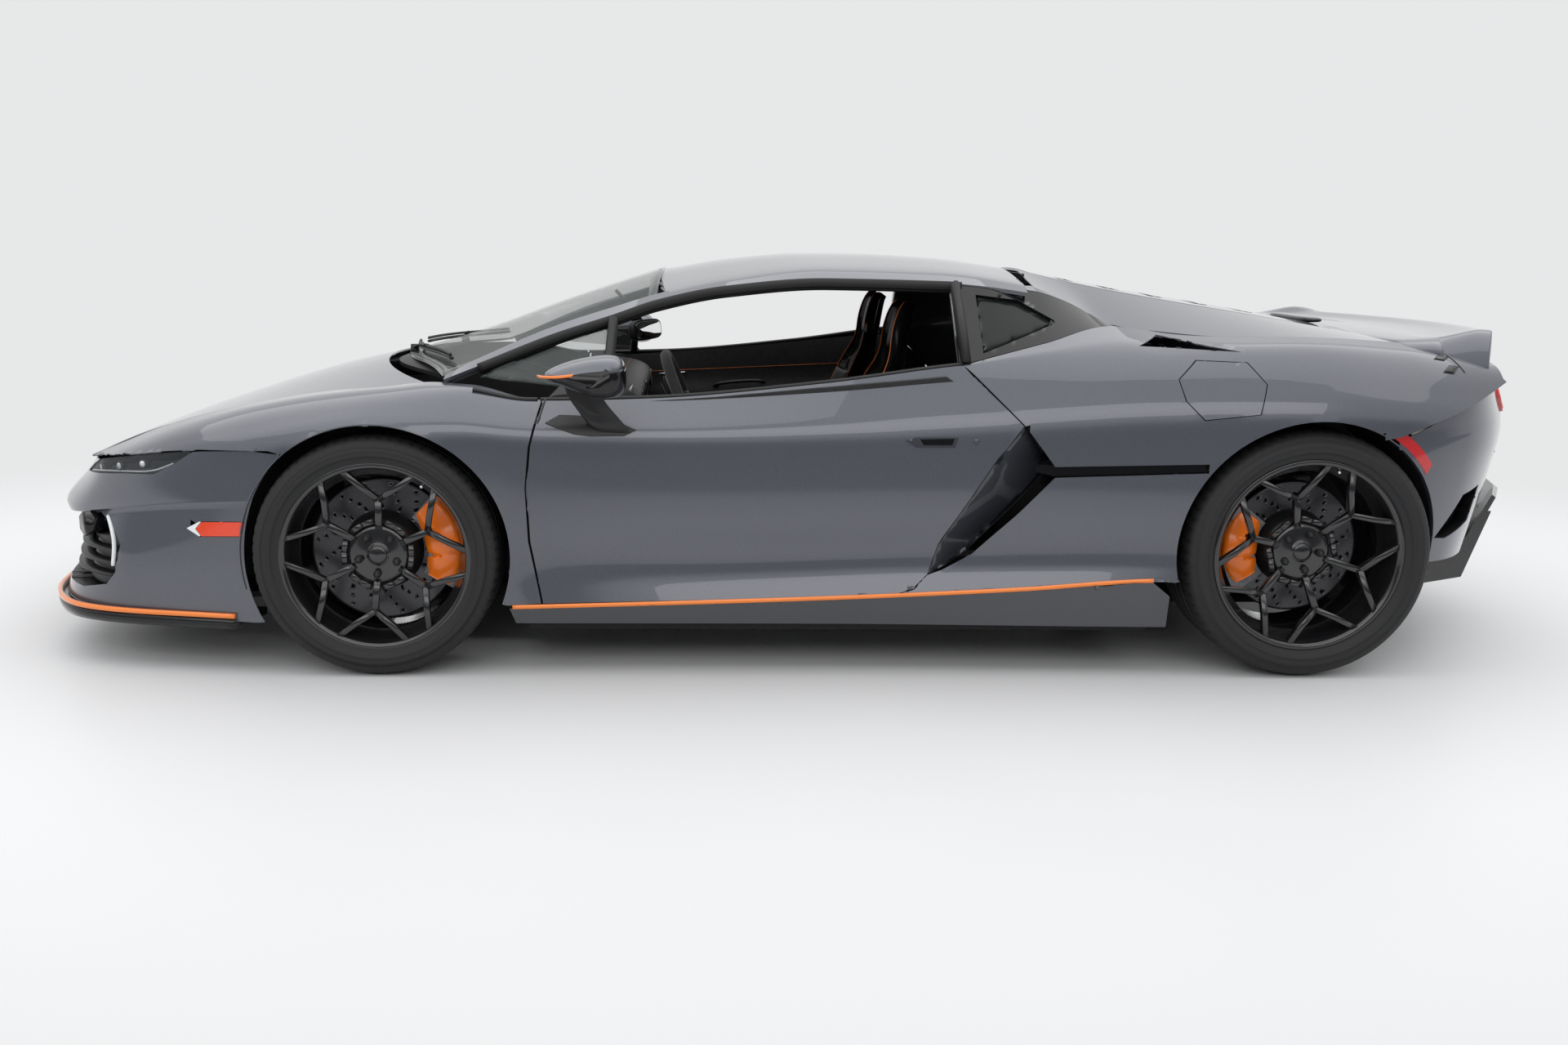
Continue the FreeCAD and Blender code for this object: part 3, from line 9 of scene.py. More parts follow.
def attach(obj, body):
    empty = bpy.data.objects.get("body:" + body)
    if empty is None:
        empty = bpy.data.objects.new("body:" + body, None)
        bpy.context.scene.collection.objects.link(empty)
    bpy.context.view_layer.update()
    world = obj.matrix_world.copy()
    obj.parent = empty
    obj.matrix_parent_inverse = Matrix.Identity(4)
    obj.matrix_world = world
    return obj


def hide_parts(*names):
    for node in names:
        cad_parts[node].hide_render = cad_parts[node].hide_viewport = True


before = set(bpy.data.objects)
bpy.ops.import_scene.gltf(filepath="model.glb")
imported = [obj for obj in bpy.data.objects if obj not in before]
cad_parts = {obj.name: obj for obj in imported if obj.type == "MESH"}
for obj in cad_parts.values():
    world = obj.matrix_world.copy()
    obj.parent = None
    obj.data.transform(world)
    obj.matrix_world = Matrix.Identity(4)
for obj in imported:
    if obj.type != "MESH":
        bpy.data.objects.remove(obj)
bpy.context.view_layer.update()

# Camera, floor and light
# The camera stands level with the doors on the car's left and looks a little down and rearwards.
# Soft boxes hang over and beside a pale floor, as in a plain photo studio.
CAMERA_PLACE = (-0.329, -4.985, 1.245)
CAMERA_TURN = math.radians(3.08)
CAMERA_PITCH = math.radians(11.12)
CAMERA_ROLL = math.radians(0.99)
CAMERA_LENS = 33.56


def unit(vectors):
    """Vectors divided by their own lengths."""
    return vectors / np.maximum(np.linalg.norm(vectors, axis=-1, keepdims=True), 1e-12)


def placed(right, up, back, place):
    """A matrix whose columns are three directions and a place."""
    return Matrix(np.vstack([np.stack([right, up, back, place], axis=1), (0, 0, 0, 1)]).tolist())


def view_matrix(place, turn, pitch, roll):
    """Right, up and backward columns of a view turned about the upright, pitched down, then rolled."""
    level = np.array([math.sin(turn), math.cos(turn), 0.0])
    right = np.array([math.cos(turn), -math.sin(turn), 0.0])
    rise = np.array([0.0, 0.0, 1.0])
    ahead = level * math.cos(pitch) - rise * math.sin(pitch)
    up = rise * math.cos(pitch) + level * math.sin(pitch)
    rolled_right = right * math.cos(roll) + up * math.sin(roll)
    rolled_up = up * math.cos(roll) - right * math.sin(roll)
    return placed(rolled_right, rolled_up, -ahead, place)


lens = bpy.data.cameras.new("camera")
lens.lens = CAMERA_LENS
lens.sensor_width = 36.0
camera = bpy.data.objects.new("camera", lens)
bpy.context.collection.objects.link(camera)
camera.matrix_world = view_matrix(CAMERA_PLACE, CAMERA_TURN, CAMERA_PITCH, CAMERA_ROLL)
bpy.context.scene.camera = camera
bpy.context.scene.view_settings.view_transform = "Standard"


def soft_box(name, place, aim, width, height, power, mirrored=False):
    """A rectangular area lamp at a place, its face turned to the aim point; a mirrored one shows in gloss."""
    lamp = bpy.data.lights.new(name, "AREA")
    lamp.shape = "RECTANGLE"
    lamp.size, lamp.size_y = width, height
    lamp.energy = power
    holder = bpy.data.objects.new(name, lamp)
    back = unit(np.subtract(place, aim))
    side = unit(np.cross((0.0, 0.0, 1.0) if abs(back[2]) < 0.99 else (0.0, 1.0, 0.0), back))
    holder.matrix_world = placed(side, np.cross(back, side), back, place)
    holder.visible_glossy = mirrored
    bpy.context.collection.objects.link(holder)


soft_box("light_over", (0.0, 0.0, 5.5), (0.0, 0.0, 0.0), 14.0, 9.0, 380, True)
soft_box("light_left", (-1.0, -7.5, 4.6), (0.0, 0.0, 0.5), 12.0, 3.0, 185, True)
soft_box("light_nose", (-8.0, -2.0, 3.2), (0.0, 0.0, 0.5), 6.0, 3.0, 75)
soft_box("light_tail", (8.0, -1.0, 3.4), (0.0, 0.0, 0.5), 6.0, 3.0, 75)
soft_box("light_right", (0.5, 7.5, 4.2), (0.0, 0.0, 0.5), 10.0, 3.0, 110)

STUDIO_WHITE = (0.8, 0.805, 0.81, 1)
ROOM_DARK = (0.13, 0.135, 0.15, 1)
SKY_LOW = (0.22, 0.225, 0.235)
SKY_HIGH = (0.98, 0.985, 1.0)
SKY_STRENGTH = 0.62


def feed(tree, target, feeds):
    """Sets a node's inputs by name or number, each from another node's output or to a plain value."""
    for name, value in feeds.items():
        if isinstance(value, bpy.types.NodeSocket):
            tree.links.new(value, target.inputs[name])
        else:
            target.inputs[name].default_value = value


def node(tree, kind, feeds, **settings):
    """A new shader node of a kind, with its settings and its fed inputs."""
    made = tree.nodes.new("ShaderNode" + kind)
    for name, value in settings.items():
        setattr(made, name, value)
    feed(tree, made, feeds)
    return made


def worked(tree, operation, first, second):
    """The output of a math node with two inputs."""
    return node(tree, "Math", {0: first, 1: second}, operation=operation).outputs[0]


def ramp(tree, share, low, dark, high, light):
    """A colour that runs from dark at the low share to light at the high one."""
    made = node(tree, "ValToRGB", {"Fac": share})
    for stop, place, colour in zip(made.color_ramp.elements, (low, high), (dark, light)):
        stop.position = place
        stop.color = (*colour, 1)
    return made.outputs["Color"]


def spanned(tree, value, span, ends):
    """A value carried from one span to another along a smooth step."""
    feeds = {"Value": value, "From Min": span[0], "From Max": span[1], "To Min": ends[0], "To Max": ends[1]}
    return node(tree, "MapRange", feeds, interpolation_type="SMOOTHSTEP").outputs["Result"]


def dim_room(tree, behind, low, first, last):
    """White, tinted towards the dark end of the room for glossy rays only, where both sockets are low."""
    share = worked(tree, "MULTIPLY", spanned(tree, behind, first, (1, 0)), spanned(tree, low, last, (1, 0)))
    share = worked(tree, "MULTIPLY", share, node(tree, "LightPath", {}).outputs["Is Glossy Ray"])
    tint = node(tree, "Mix", {}, data_type="RGBA")
    feed(tree, tint, {"Factor": share, "A": STUDIO_WHITE, "B": ROOM_DARK})
    return tint.outputs["Result"]


sky = bpy.data.worlds.new("studio")
bpy.context.scene.world = sky
sky.use_nodes = True
tree = sky.node_tree
parts = node(tree, "SeparateXYZ", {0: node(tree, "TexCoord", {}).outputs["Generated"]})
plain = tree.nodes["Background"]
feed(tree, plain, {"Strength": SKY_STRENGTH, "Color": ramp(tree, parts.outputs["Z"], 0.04, SKY_LOW, 0.55,
                                                           SKY_HIGH)})
room = dim_room(tree, parts.outputs["Y"], parts.outputs["Z"], (-0.5, -0.15), (0.08, 0.26))
seen = node(tree, "Background", {"Color": room})
rays = node(tree, "LightPath", {})
direct = worked(tree, "MAXIMUM", rays.outputs["Is Camera Ray"], rays.outputs["Is Transmission Ray"])
direct = worked(tree, "MAXIMUM", direct, rays.outputs["Is Glossy Ray"])
mixed = node(tree, "MixShader", {0: direct, 1: plain.outputs[0], 2: seen.outputs[0]})
feed(tree, tree.nodes["World Output"], {"Surface": mixed.outputs[0]})


def welded(points, faces):
    """Joins points that coincide within a hundredth of a millimetre and leaves out faces with no area."""
    points = np.asarray(points, dtype=float)
    _, first, number = np.unique(np.round(points * 1e5).astype(np.int64), axis=0, return_index=True,
                                 return_inverse=True)
    number = number.ravel()
    kept, known = [], set()
    for face in faces:
        corners = list(dict.fromkeys(int(number[corner]) for corner in face))
        key = tuple(sorted(corners))
        if len(corners) > 2 and key not in known:
            known.add(key)
            kept.append(tuple(corners))
    return points[first], kept


def make_mesh(name, points, faces):
    """A smooth-shaded mesh object from an array of points and a list of corner numbers."""
    points, faces = welded(points, faces)
    mesh = bpy.data.meshes.new(name)
    mesh.from_pydata(points.tolist(), [], faces)
    mesh.update()
    mesh.shade_smooth()
    piece = bpy.data.objects.new(name, mesh)
    bpy.context.collection.objects.link(piece)
    return piece


def shaded(material, feeds):
    """Feeds the material's own shader."""
    feed(material.node_tree, material.node_tree.nodes["Principled BSDF"], feeds)
    return material


def finish(name, colour, roughness, metallic=0.0, coat=0.0, coat_roughness=0.03, alpha=1.0, ior=1.45,
           specular=0.5, sheen=0.0):
    """A material whose uniform numbers sit on the shader's own sockets."""
    material = bpy.data.materials.new(name)
    material.use_nodes = True
    return shaded(material, {
        "Base Color": (*colour, 1), "Roughness": roughness, "Metallic": metallic, "Coat Weight": coat,
        "Coat Roughness": coat_roughness, "Alpha": alpha, "IOR": ior, "Specular IOR Level": specular,
        "Sheen Weight": sheen,
    })


def textured(material, kind, feeds):
    """The value of a texture node of a kind on Object coordinates."""
    place = node(material.node_tree, "TexCoord", {}).outputs["Object"]
    return node(material.node_tree, "Tex" + kind, {"Vector": place, **feeds}).outputs[0]


def speckle(material, scale, dark, light, low=0.35, high=0.65, detail=4.0):
    """Varies the base colour between two colours by fine noise on Object coordinates."""
    noise = textured(material, "Noise", {"Scale": scale, "Detail": detail})
    return shaded(material, {"Base Color": ramp(material.node_tree, noise, low, dark, high, light)})


def grained(material, scale, depth, kind="Noise"):
    """Raises a fine grain by a bump of noise or cells on Object coordinates, depth in metres."""
    height = textured(material, kind, {"Scale": scale})
    bump = node(material.node_tree, "Bump", {"Height": height, "Distance": depth, "Strength": 1.0})
    return shaded(material, {"Normal": bump.outputs["Normal"]})


def scuffed(material, scale, low, high):
    """Varies the roughness between two values by soft patches of noise on Object coordinates."""
    patches = textured(material, "Noise", {"Scale": scale, "Detail": 6.0})
    span = node(material.node_tree, "MapRange", {"Value": patches, "To Min": low, "To Max": high})
    return shaded(material, {"Roughness": span.outputs["Result"]})


FLOOR_FADE = (0.85, 1.75)
FLOOR_DIM = (-3.9, -2.9)
floor_finish = scuffed(finish("studio_floor", (0.76, 0.765, 0.77), 0.4), 1.5, 0.34, 0.5)
tree = floor_finish.node_tree
place = node(tree, "TexCoord", {}).outputs["Object"]
shrunk = node(tree, "Mapping", {"Vector": place, "Scale": (0.29, 0.44, 0)})
reach = node(tree, "VectorMath", {0: shrunk.outputs[0]}, operation="LENGTH")
rays = node(tree, "LightPath", {})
watched = worked(tree, "MAXIMUM", rays.outputs["Is Camera Ray"], rays.outputs["Is Glossy Ray"])
share = worked(tree, "MULTIPLY", watched, spanned(tree, reach.outputs["Value"], FLOOR_FADE, (0, 1)))
length = node(tree, "SeparateXYZ", {0: place}).outputs["Y"]
glow = node(tree, "Emission", {"Color": dim_room(tree, length, length, FLOOR_DIM, FLOOR_DIM)})
base = tree.nodes["Principled BSDF"]
mixed = node(tree, "MixShader", {0: share, 1: base.outputs[0], 2: glow.outputs[0]})
feed(tree, tree.nodes["Material Output"], {"Surface": mixed.outputs[0]})
floor = make_mesh("studio_floor", [(-60, -60, 0), (60, -60, 0), (60, 60, 0), (-60, 60, 0)], [(0, 1, 2, 3)])
floor.data.materials.append(floor_finish)

# Body surface
# The body is stretched between styling lines that run along each side, as on a clay model.
# Each line lists length, half-width and height in metres; the panels are cut from one surface.
PAINT_COLOUR = (0.088, 0.093, 0.113)
PAINT_DARK_FLAKE = (0.077, 0.082, 0.101)
PAINT_LIGHT_FLAKE = (0.104, 0.11, 0.132)
PANEL_STEP = 0.014
PANEL_WALL = 0.0035
PANEL_RIM = 0.0009

DECK_SIDE = [(.963, .7, .988), (1.186, .76, .975), (1.405, .775, .978), (1.7, .755, .965), (1.9, .72, .935),
             (2.0, .7, .915)]
LINES = {
    "skirt_foot": [(-2.05, .8, .15), (-1.6, .9, .15), (-.87, .93, .15), (0, .925, .15), (1.0, .95, .15),
                   (1.8, .93, .24), (2.15, .8, .3)],
    "stripe": [(-2.05, .84, .19), (-1.65, .935, .178), (-.87, .958, .2), (0, .952, .228), (.567, .962, .259),
               (.936, .975, .289), (1.4, .985, .3), (1.8, .95, .32), (2.15, .78, .33)],
    "hollow": [(-2.05, .83, .33), (-1.65, .935, .33), (-1.253, .975, .33), (-.87, .95, .33), (-.4, .917, .32),
               (.1, .91, .33), (.56, .927, .345), (.936, .958, .36), (1.405, .99, .4), (1.8, .95, .42),
               (2.15, .76, .45)],
    "waist": [(-2.05, .81, .47), (-1.65, .935, .47), (-1.253, .985, .47), (-.84, .952, .46), (-.4, .943, .46),
              (.1, .938, .475), (.56, .949, .5), (.936, .969, .52), (1.405, .993, .56), (1.8, .955, .58),
              (2.15, .74, .6)],
    "shoulder": [(-2.08, .73, .56), (-1.85, .855, .615), (-1.62, .93, .655), (-1.253, .985, .715),
                 (-1.0, .97, .712), (-.83, .955, .7), (-.4, .945, .695), (.1, .94, .705), (.56, .95, .735),
                 (.936, .97, .765), (1.405, .996, .785), (1.8, .955, .765), (2.1, .83, .74)],
    "crown": [(-2.12, .65, .565), (-1.85, .79, .668), (-1.62, .845, .74), (-1.4, .868, .785),
              (-1.253, .875, .803), (-1.05, .88, .812), (-.83, .872, .778), (-.5, .866, .787),
              (0, .862, .835), (.38, .862, .889), (.65, .87, .915), (.936, .885, .938), (1.405, .902, .955),
              (1.7, .878, .935), (1.9, .835, .905), (2.06, .79, .88)],
    "hood_edge": [(-2.15, .56, .575), (-1.85, .655, .69), (-1.62, .7, .748), (-1.4, .72, .785),
                  (-1.253, .735, .8), (-1.1, .77, .815)],
    "rail_foot": [(-1.08, .8, .826), (-.972, .745, .868), (-.772, .69, .948), (-.604, .66, 1.003),
                  (-.474, .64, 1.048), (-.275, .625, 1.09), (.024, .618, 1.116), (.367, .628, 1.113),
                  (.64, .655, 1.086), (.86, .7, 1.01)],
    "rail_top": [(-1.09, .77, .832), (-.972, .705, .89), (-.772, .64, .975), (-.604, .6, 1.03),
                 (-.474, .575, 1.07), (-.275, .555, 1.115), (.024, .545, 1.15), (.367, .55, 1.145),
                 (.64, .575, 1.11), (.86, .62, 1.04)],
    "roof_middle": [(-.46, .0, 1.148), (-.268, .0, 1.18), (-.041, .0, 1.199), (.15, .0, 1.201),
                    (.418, .0, 1.19), (.64, .0, 1.166)],
    "post_foot": [(.377, .858, .886), (.64, .79, .95), (.86, .7, .998)] + DECK_SIDE,
    "deck_edge": [(.64, .575, 1.108), (.75, .6, 1.062), (.86, .65, 1.002)] + DECK_SIDE,
    "deck_spine": [(.64, .33, 1.15), (.86, .35, 1.105), (1.1, .37, 1.065), (1.405, .4, 1.02),
                   (1.7, .43, .975), (2.0, .45, .935)],
    "deck_middle": [(.64, .0, 1.164), (.882, .0, 1.118), (1.101, .0, 1.083), (1.393, .0, 1.04),
                    (1.66, .0, .997), (1.91, .0, .962), (2.0, .0, .95)],
}
SIDE_LINES = ("stripe", "hollow", "waist", "shoulder", "crown")
SIDE_SOFTNESS = (0.5, 0.5, 0.3, 0.25, 0.5)


def on_line(name, x):
    """Half-width and height at x by cubic Hermite spans, each slope the harmonic mean of its neighbours'."""
    table = np.array(LINES[name.strip("-")])
    x = np.clip(x, table[0, 0], table[-1, 0])
    step = np.diff(table[:, 0])
    span = np.clip(np.searchsorted(table[:, 0], x, side="right") - 1, 0, len(step) - 1)
    s = (x - table[span, 0]) / step[span]
    found = []
    for value in (table[:, 1], table[:, 2]):
        slope = np.diff(value) / step
        before, after = slope[:-1], slope[1:]
        same = before * after > 0
        inner = np.where(same, 2 * before * after / np.where(same, before + after, 1.0), 0.0)
        lean = np.concatenate([slope[:1], inner, slope[-1:]])
        found.append((2 * s ** 3 - 3 * s ** 2 + 1) * value[span] + (s ** 3 - 2 * s ** 2 + s) * step[span]
                     * lean[span] + (3 * s ** 2 - 2 * s ** 3) * value[span + 1] + (s ** 3 - s ** 2)
                     * step[span] * lean[span + 1])
    return -found[0] if name.startswith("-") else found[0], found[1]


def blend(t, softness):
    """Weights of the lines at each t: straight between two lines, quadratic within its softness of a line."""
    soft = np.array(softness, dtype=float)
    count = len(soft)
    t = np.clip(t, 0, count - 1)
    near = np.rint(t).astype(int)
    off = t - near
    reach = np.where((near == 0) | (near == count - 1), 1e-6, soft[near])
    w = np.clip((off + reach) / (2 * reach), 0, 1)
    curved = np.abs(off) < reach
    here = np.where(curved, (w ** 2 + (1 - w) ** 2) * (1 - reach) + 2 * w * (1 - w), 1 - np.abs(off))
    back = np.where(curved, (1 - w) ** 2 * reach, np.maximum(-off, 0))
    ahead = np.where(curved, w ** 2 * reach, np.maximum(off, 0))
    weights = np.zeros((len(t), count))
    rows = np.arange(len(t))
    weights[rows, near] += here
    weights[rows, np.maximum(near - 1, 0)] += back
    weights[rows, np.minimum(near + 1, count - 1)] += ahead
    return weights


def body_surface(names, softness):
    """Surface of length x and line number t, blended between styling lines; a line with - is the right's."""
    def point(x, t):
        pairs = np.array([on_line(name, x) for name in names])
        yz = np.einsum("nk,kan->na", blend(t, softness), pairs)
        return np.stack([x, -yz[:, 0], yz[:, 1]], axis=1)

    return point


def net_surface(net, soft_u, soft_v):
    """Surface of u and v, blended both ways between the points of a net."""
    grid = np.array(net, dtype=float)

    def point(u, v):
        return np.einsum("ni,nj,ijk->nk", blend(u, soft_u), blend(v, soft_v), grid)

    return point


def ring_distance(places, ring):
    """Distance of flat places to a closed outline, the nearest point on it, and whether each lies inside."""
    start, end = ring, np.roll(ring, -1, axis=0)
    run = end - start
    offset = places[:, None, :] - start[None]
    share = np.clip((offset * run).sum(-1) / np.maximum((run ** 2).sum(-1), 1e-12), 0, 1)
    near = start[None] + share[..., None] * run[None]
    gap = ((places[:, None, :] - near) ** 2).sum(-1)
    best = gap.argmin(1)
    rows = np.arange(len(places))
    above = start[None, :, 1] > places[:, None, 1]
    crossing = above != (end[None, :, 1] > places[:, None, 1])
    rise = np.where(run[:, 1] == 0, 1e-12, run[:, 1])
    reach = start[None, :, 0] + (places[:, None, 1] - start[None, :, 1]) / rise[None] * run[None, :, 0]
    inside = (crossing & (places[:, None, 0] < reach)).sum(1) % 2 == 1
    return np.sqrt(gap[rows, best]), near[rows, best], inside


SIDE_VIEW = np.array([(1, 0), (0, 0), (0, 1)], dtype=float)
PLAN_VIEW = np.array([(1, 0), (0, 1), (0, 0)], dtype=float)


def lattice(rows, columns, around_rows=0, around_columns=0, turned=False):
    """Corner numbers of the quads between rows and columns of points, closed round where a 1 says so."""
    number = np.arange(rows * columns).reshape(rows, columns)
    number = np.pad(number, ((0, around_rows), (0, around_columns)), "wrap")
    corners = [number[:-1, :-1], number[1:, :-1], number[1:, 1:], number[:-1, 1:]]
    if turned:
        corners = corners[:1] + corners[:0:-1]
    return np.stack(corners, axis=-1).reshape(-1, 4)


def cut_panel(surface, us, vs, outline, holes=(), view=SIDE_VIEW):
    """Grid points of the surface inside the outline and outside its holes, both drawn flat in the given view.

    A point nearer than half a cell to an edge moves along the surface until it lies on that edge,
    and a corner of an outline takes the point nearest to it.
    """
    u, v = (grid.ravel() for grid in np.meshgrid(us, vs, indexing="ij"))
    rings = [np.array(outline, dtype=float)] + [np.array(hole, dtype=float) for hole in holes]
    points = surface(u, v)
    flat = points @ view
    step_u = surface(u + 1e-4, v) @ view - flat
    step_v = surface(u, v + 1e-4) @ view - flat
    cell_u = np.linalg.norm(step_u, axis=1) / 1e-4 * (us[1] - us[0])
    cell_v = np.linalg.norm(step_v, axis=1) / 1e-4 * (vs[1] - vs[0])
    cell = np.maximum(cell_u, cell_v)
    keep = np.ones(len(flat), dtype=bool)
    nearest = np.full(len(flat), np.inf)
    target = flat.copy()
    for number, ring in enumerate(rings):
        gap, near, inside = ring_distance(flat, ring)
        keep &= inside if number == 0 else ~inside
        closer = gap < nearest
        nearest[closer] = gap[closer]
        target[closer] = near[closer]
    snap = nearest < 0.52 * cell
    for ring in rings:
        back, ahead = ring - np.roll(ring, 1, axis=0), np.roll(ring, -1, axis=0) - ring
        turn = np.abs(np.angle((ahead[:, 0] + 1j * ahead[:, 1]) / (back[:, 0] + 1j * back[:, 1])))
        for corner in ring[turn > 0.35]:
            away = np.linalg.norm(flat - corner, axis=1)
            best = away.argmin()
            if away[best] < cell[best]:
                snap[best], target[best] = True, corner
    su, sv = u[snap].copy(), v[snap].copy()
    for _ in range(5):
        here = surface(su, sv) @ view
        du = (surface(su + 1e-4, sv) @ view - here) / 1e-4
        dv = (surface(su, sv + 1e-4) @ view - here) / 1e-4
        miss = target[snap] - here
        det = du[:, 0] * dv[:, 1] - du[:, 1] * dv[:, 0]
        det = np.where(np.abs(det) < 1e-9, 1e-9, det)
        su += np.clip((miss[:, 0] * dv[:, 1] - miss[:, 1] * dv[:, 0]) / det, -0.03, 0.03)
        sv += np.clip((du[:, 0] * miss[:, 1] - du[:, 1] * miss[:, 0]) / det, -0.3, 0.3)
    u[snap], v[snap] = su, sv
    points[snap] = surface(su, sv)
    use = keep | snap
    cells = lattice(len(us), len(vs))
    used = use[cells]
    centre = points[cells] @ view
    weight = used[..., None].astype(float)
    middle = (centre * weight).sum(1) / np.maximum(weight.sum(1), 1)
    sound = used.sum(1) >= 3
    for order, ring in enumerate(rings):
        inside = ring_distance(middle[sound], ring)[2]
        sound[np.flatnonzero(sound)] &= inside if order == 0 else ~inside
    faces = [tuple(c[m]) for c, m in zip(cells[sound], used[sound])]
    taken = np.unique([corner for face in faces for corner in face])
    renumber = np.full(len(points), -1)
    renumber[taken] = np.arange(len(taken))
    return points[taken], [tuple(renumber[list(face)]) for face in faces]


def steps(first, last, pitch):
    """Evenly spaced values from first to last, about a pitch apart."""
    return np.linspace(first, last, max(3, int(round(abs(last - first) / pitch)) + 1))


def flipped(points, faces):
    """The same piece with its faces turned over."""
    return points, [face[::-1] for face in faces]


def to_right(points, faces):
    """The piece's mirror image on the car's right side."""
    return flipped(points * (1, -1, 1), faces)


def walled(piece, depth, rim=PANEL_RIM):
    """Gives a sheet its wall inward from the seen face, with a small rounded rim."""
    wall = piece.modifiers.new("wall", "SOLIDIFY")
    wall.thickness = depth
    wall.offset = -1.0
    if rim > 0:
        bevel = piece.modifiers.new("rim", "BEVEL")
        bevel.width = rim
        bevel.segments = 2
        bevel.limit_method = "ANGLE"
        bevel.angle_limit = math.radians(55)
        bevel.harden_normals = True
    return piece


def dressed(name, points, faces, material, slot, body="body", depth=PANEL_WALL, rim=PANEL_RIM, replaces=()):
    """A finished piece: its mesh, wall, material, the body it rides on and the nodes it stands for."""
    piece = make_mesh(name, points, faces)
    piece.data.materials.append(material)
    if depth > 0:
        walled(piece, depth, rim)
    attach(piece, body)
    if replaces:
        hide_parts(*replaces)
    return piece


def both(name, shape, material, slot, body="body", depth=PANEL_WALL, rim=PANEL_RIM, replaces=()):
    """The piece on the left and its mirror image on the right; {} in a body or a node stands for the hand.

    A node without {} is stood for by the left piece alone.
    """
    for hand, turned in (("left", shape), ("right", to_right(*shape))):
        stood_for = [node_name.format(hand) for node_name in replaces if hand == "left" or "{}" in node_name]
        dressed(name + "_" + hand, *turned, material, slot, body.format(hand), depth, rim, stood_for)


def turns(count):
    """Angles evenly round one full turn."""
    return np.linspace(0, 2 * math.pi, count, endpoint=False)


def circle(x, z, radius, count=96):
    """Points round a circle in side view."""
    a = turns(count)
    return np.stack([x + radius * np.cos(a), z + radius * np.sin(a)], axis=1)


paint = finish("paint_grey", PAINT_COLOUR, 0.33, metallic=0.35, coat=1.0, coat_roughness=0.02)
speckle(paint, 900.0, PAINT_DARK_FLAKE, PAINT_LIGHT_FLAKE, 0.42, 0.58, 1.0)
grained(paint, 260.0, 0.00001)
side = body_surface(SIDE_LINES, SIDE_SOFTNESS)

# Front fenders
# Each front wing is a pressed panel from the headlamp over the wheel to the door's shut line.
# A narrow flange turns in round the wheel arch.
FRONT_AXLE = (-1.253, 0.3433)
REAR_AXLE = (1.405, 0.3642)
FRONT_ARCH_RADIUS = 0.374
REAR_ARCH_RADIUS = 0.393
ARCH_FLANGE = 0.024
FLANGE_ROWS = (0.0005, ARCH_FLANGE / 2, ARCH_FLANGE)
LINES["fender_top"] = LINES["hood_edge"][:-1] + [
    (-1.1, .778, .818), (-1.0, .815, .816), (-.83, .848, .781), (-.78, .853, .777),
]
front_arch = circle(*FRONT_AXLE, FRONT_ARCH_RADIUS)
rear_arch = circle(*REAR_AXLE, REAR_ARCH_RADIUS)
FENDER_OUTLINE = [
    (-2.135, .572), (-2.08, .584), (-1.85, .622), (-1.742, .634), (-1.533, .64), (-1.5, .632), (-1.4, .3),
    (-.9, .207), (-.7935, .2145), (-.8285, .389), (-.8355, .543), (-.8245, .658), (-.7955, .777), (-.8, 1.0),
    (-2.2, 1.0), (-2.2, .572),
]
fender = body_surface(SIDE_LINES + ("fender_top",), SIDE_SOFTNESS + (0.5,))
shape = cut_panel(fender, steps(-2.14, -.79, PANEL_STEP), steps(0, 4.985, PANEL_STEP * 7), FENDER_OUTLINE,
                  [front_arch])
both("fender_skin", shape, paint, "paint", replaces=("fender_{}",))


def arch_flange(surface, lines, axle, radius, first, last):
    """A strip turned inward from the arch: each point of the arc found on the body, then carried inward."""
    a = np.radians(steps(first, last, 1.5))
    x, z = axle[0] + radius * np.cos(a), axle[1] + radius * np.sin(a)
    t = np.linspace(0, lines - 1, 400)
    heights = surface(np.repeat(x, 400), np.tile(t, len(x)))[:, 2].reshape(len(x), 400)
    level = np.array([np.interp(height, row, t) for height, row in zip(z, heights)])
    outer = surface(x, level)
    rows = [outer + (0, inside, 0) for inside in FLANGE_ROWS]
    return np.concatenate(rows), lattice(len(rows), len(a), turned=True).tolist()


shape = arch_flange(side, len(SIDE_LINES), FRONT_AXLE, FRONT_ARCH_RADIUS, -20, 195)
both("front_arch_flange", shape, paint, "paint", depth=0.003)

# Doors
# A door is an aluminium skin over a trimmed frame, hung on two pins behind the front wheel.
# Its handle lies in a shallow recess, and its inner face is black hide with a pull.
DOOR_OUTLINE = [
    (-.788, .214), (0, .234), (.2, .241), (.262, .262), (.303, .3), (.333, .391), (.488, .637), (.519, .674),
    (.5585, .73), (.42, .862), (.377, .91), (-.803, .91), (-.789, .777), (-.818, .658), (-.829, .543),
    (-.822, .389),
]
shape = cut_panel(side, steps(-.835, .565, PANEL_STEP), steps(0, 4, PANEL_STEP * 6), DOOR_OUTLINE)
both("door_skin", shape, paint, "paint", "door_{}", replaces=("door_{}",))

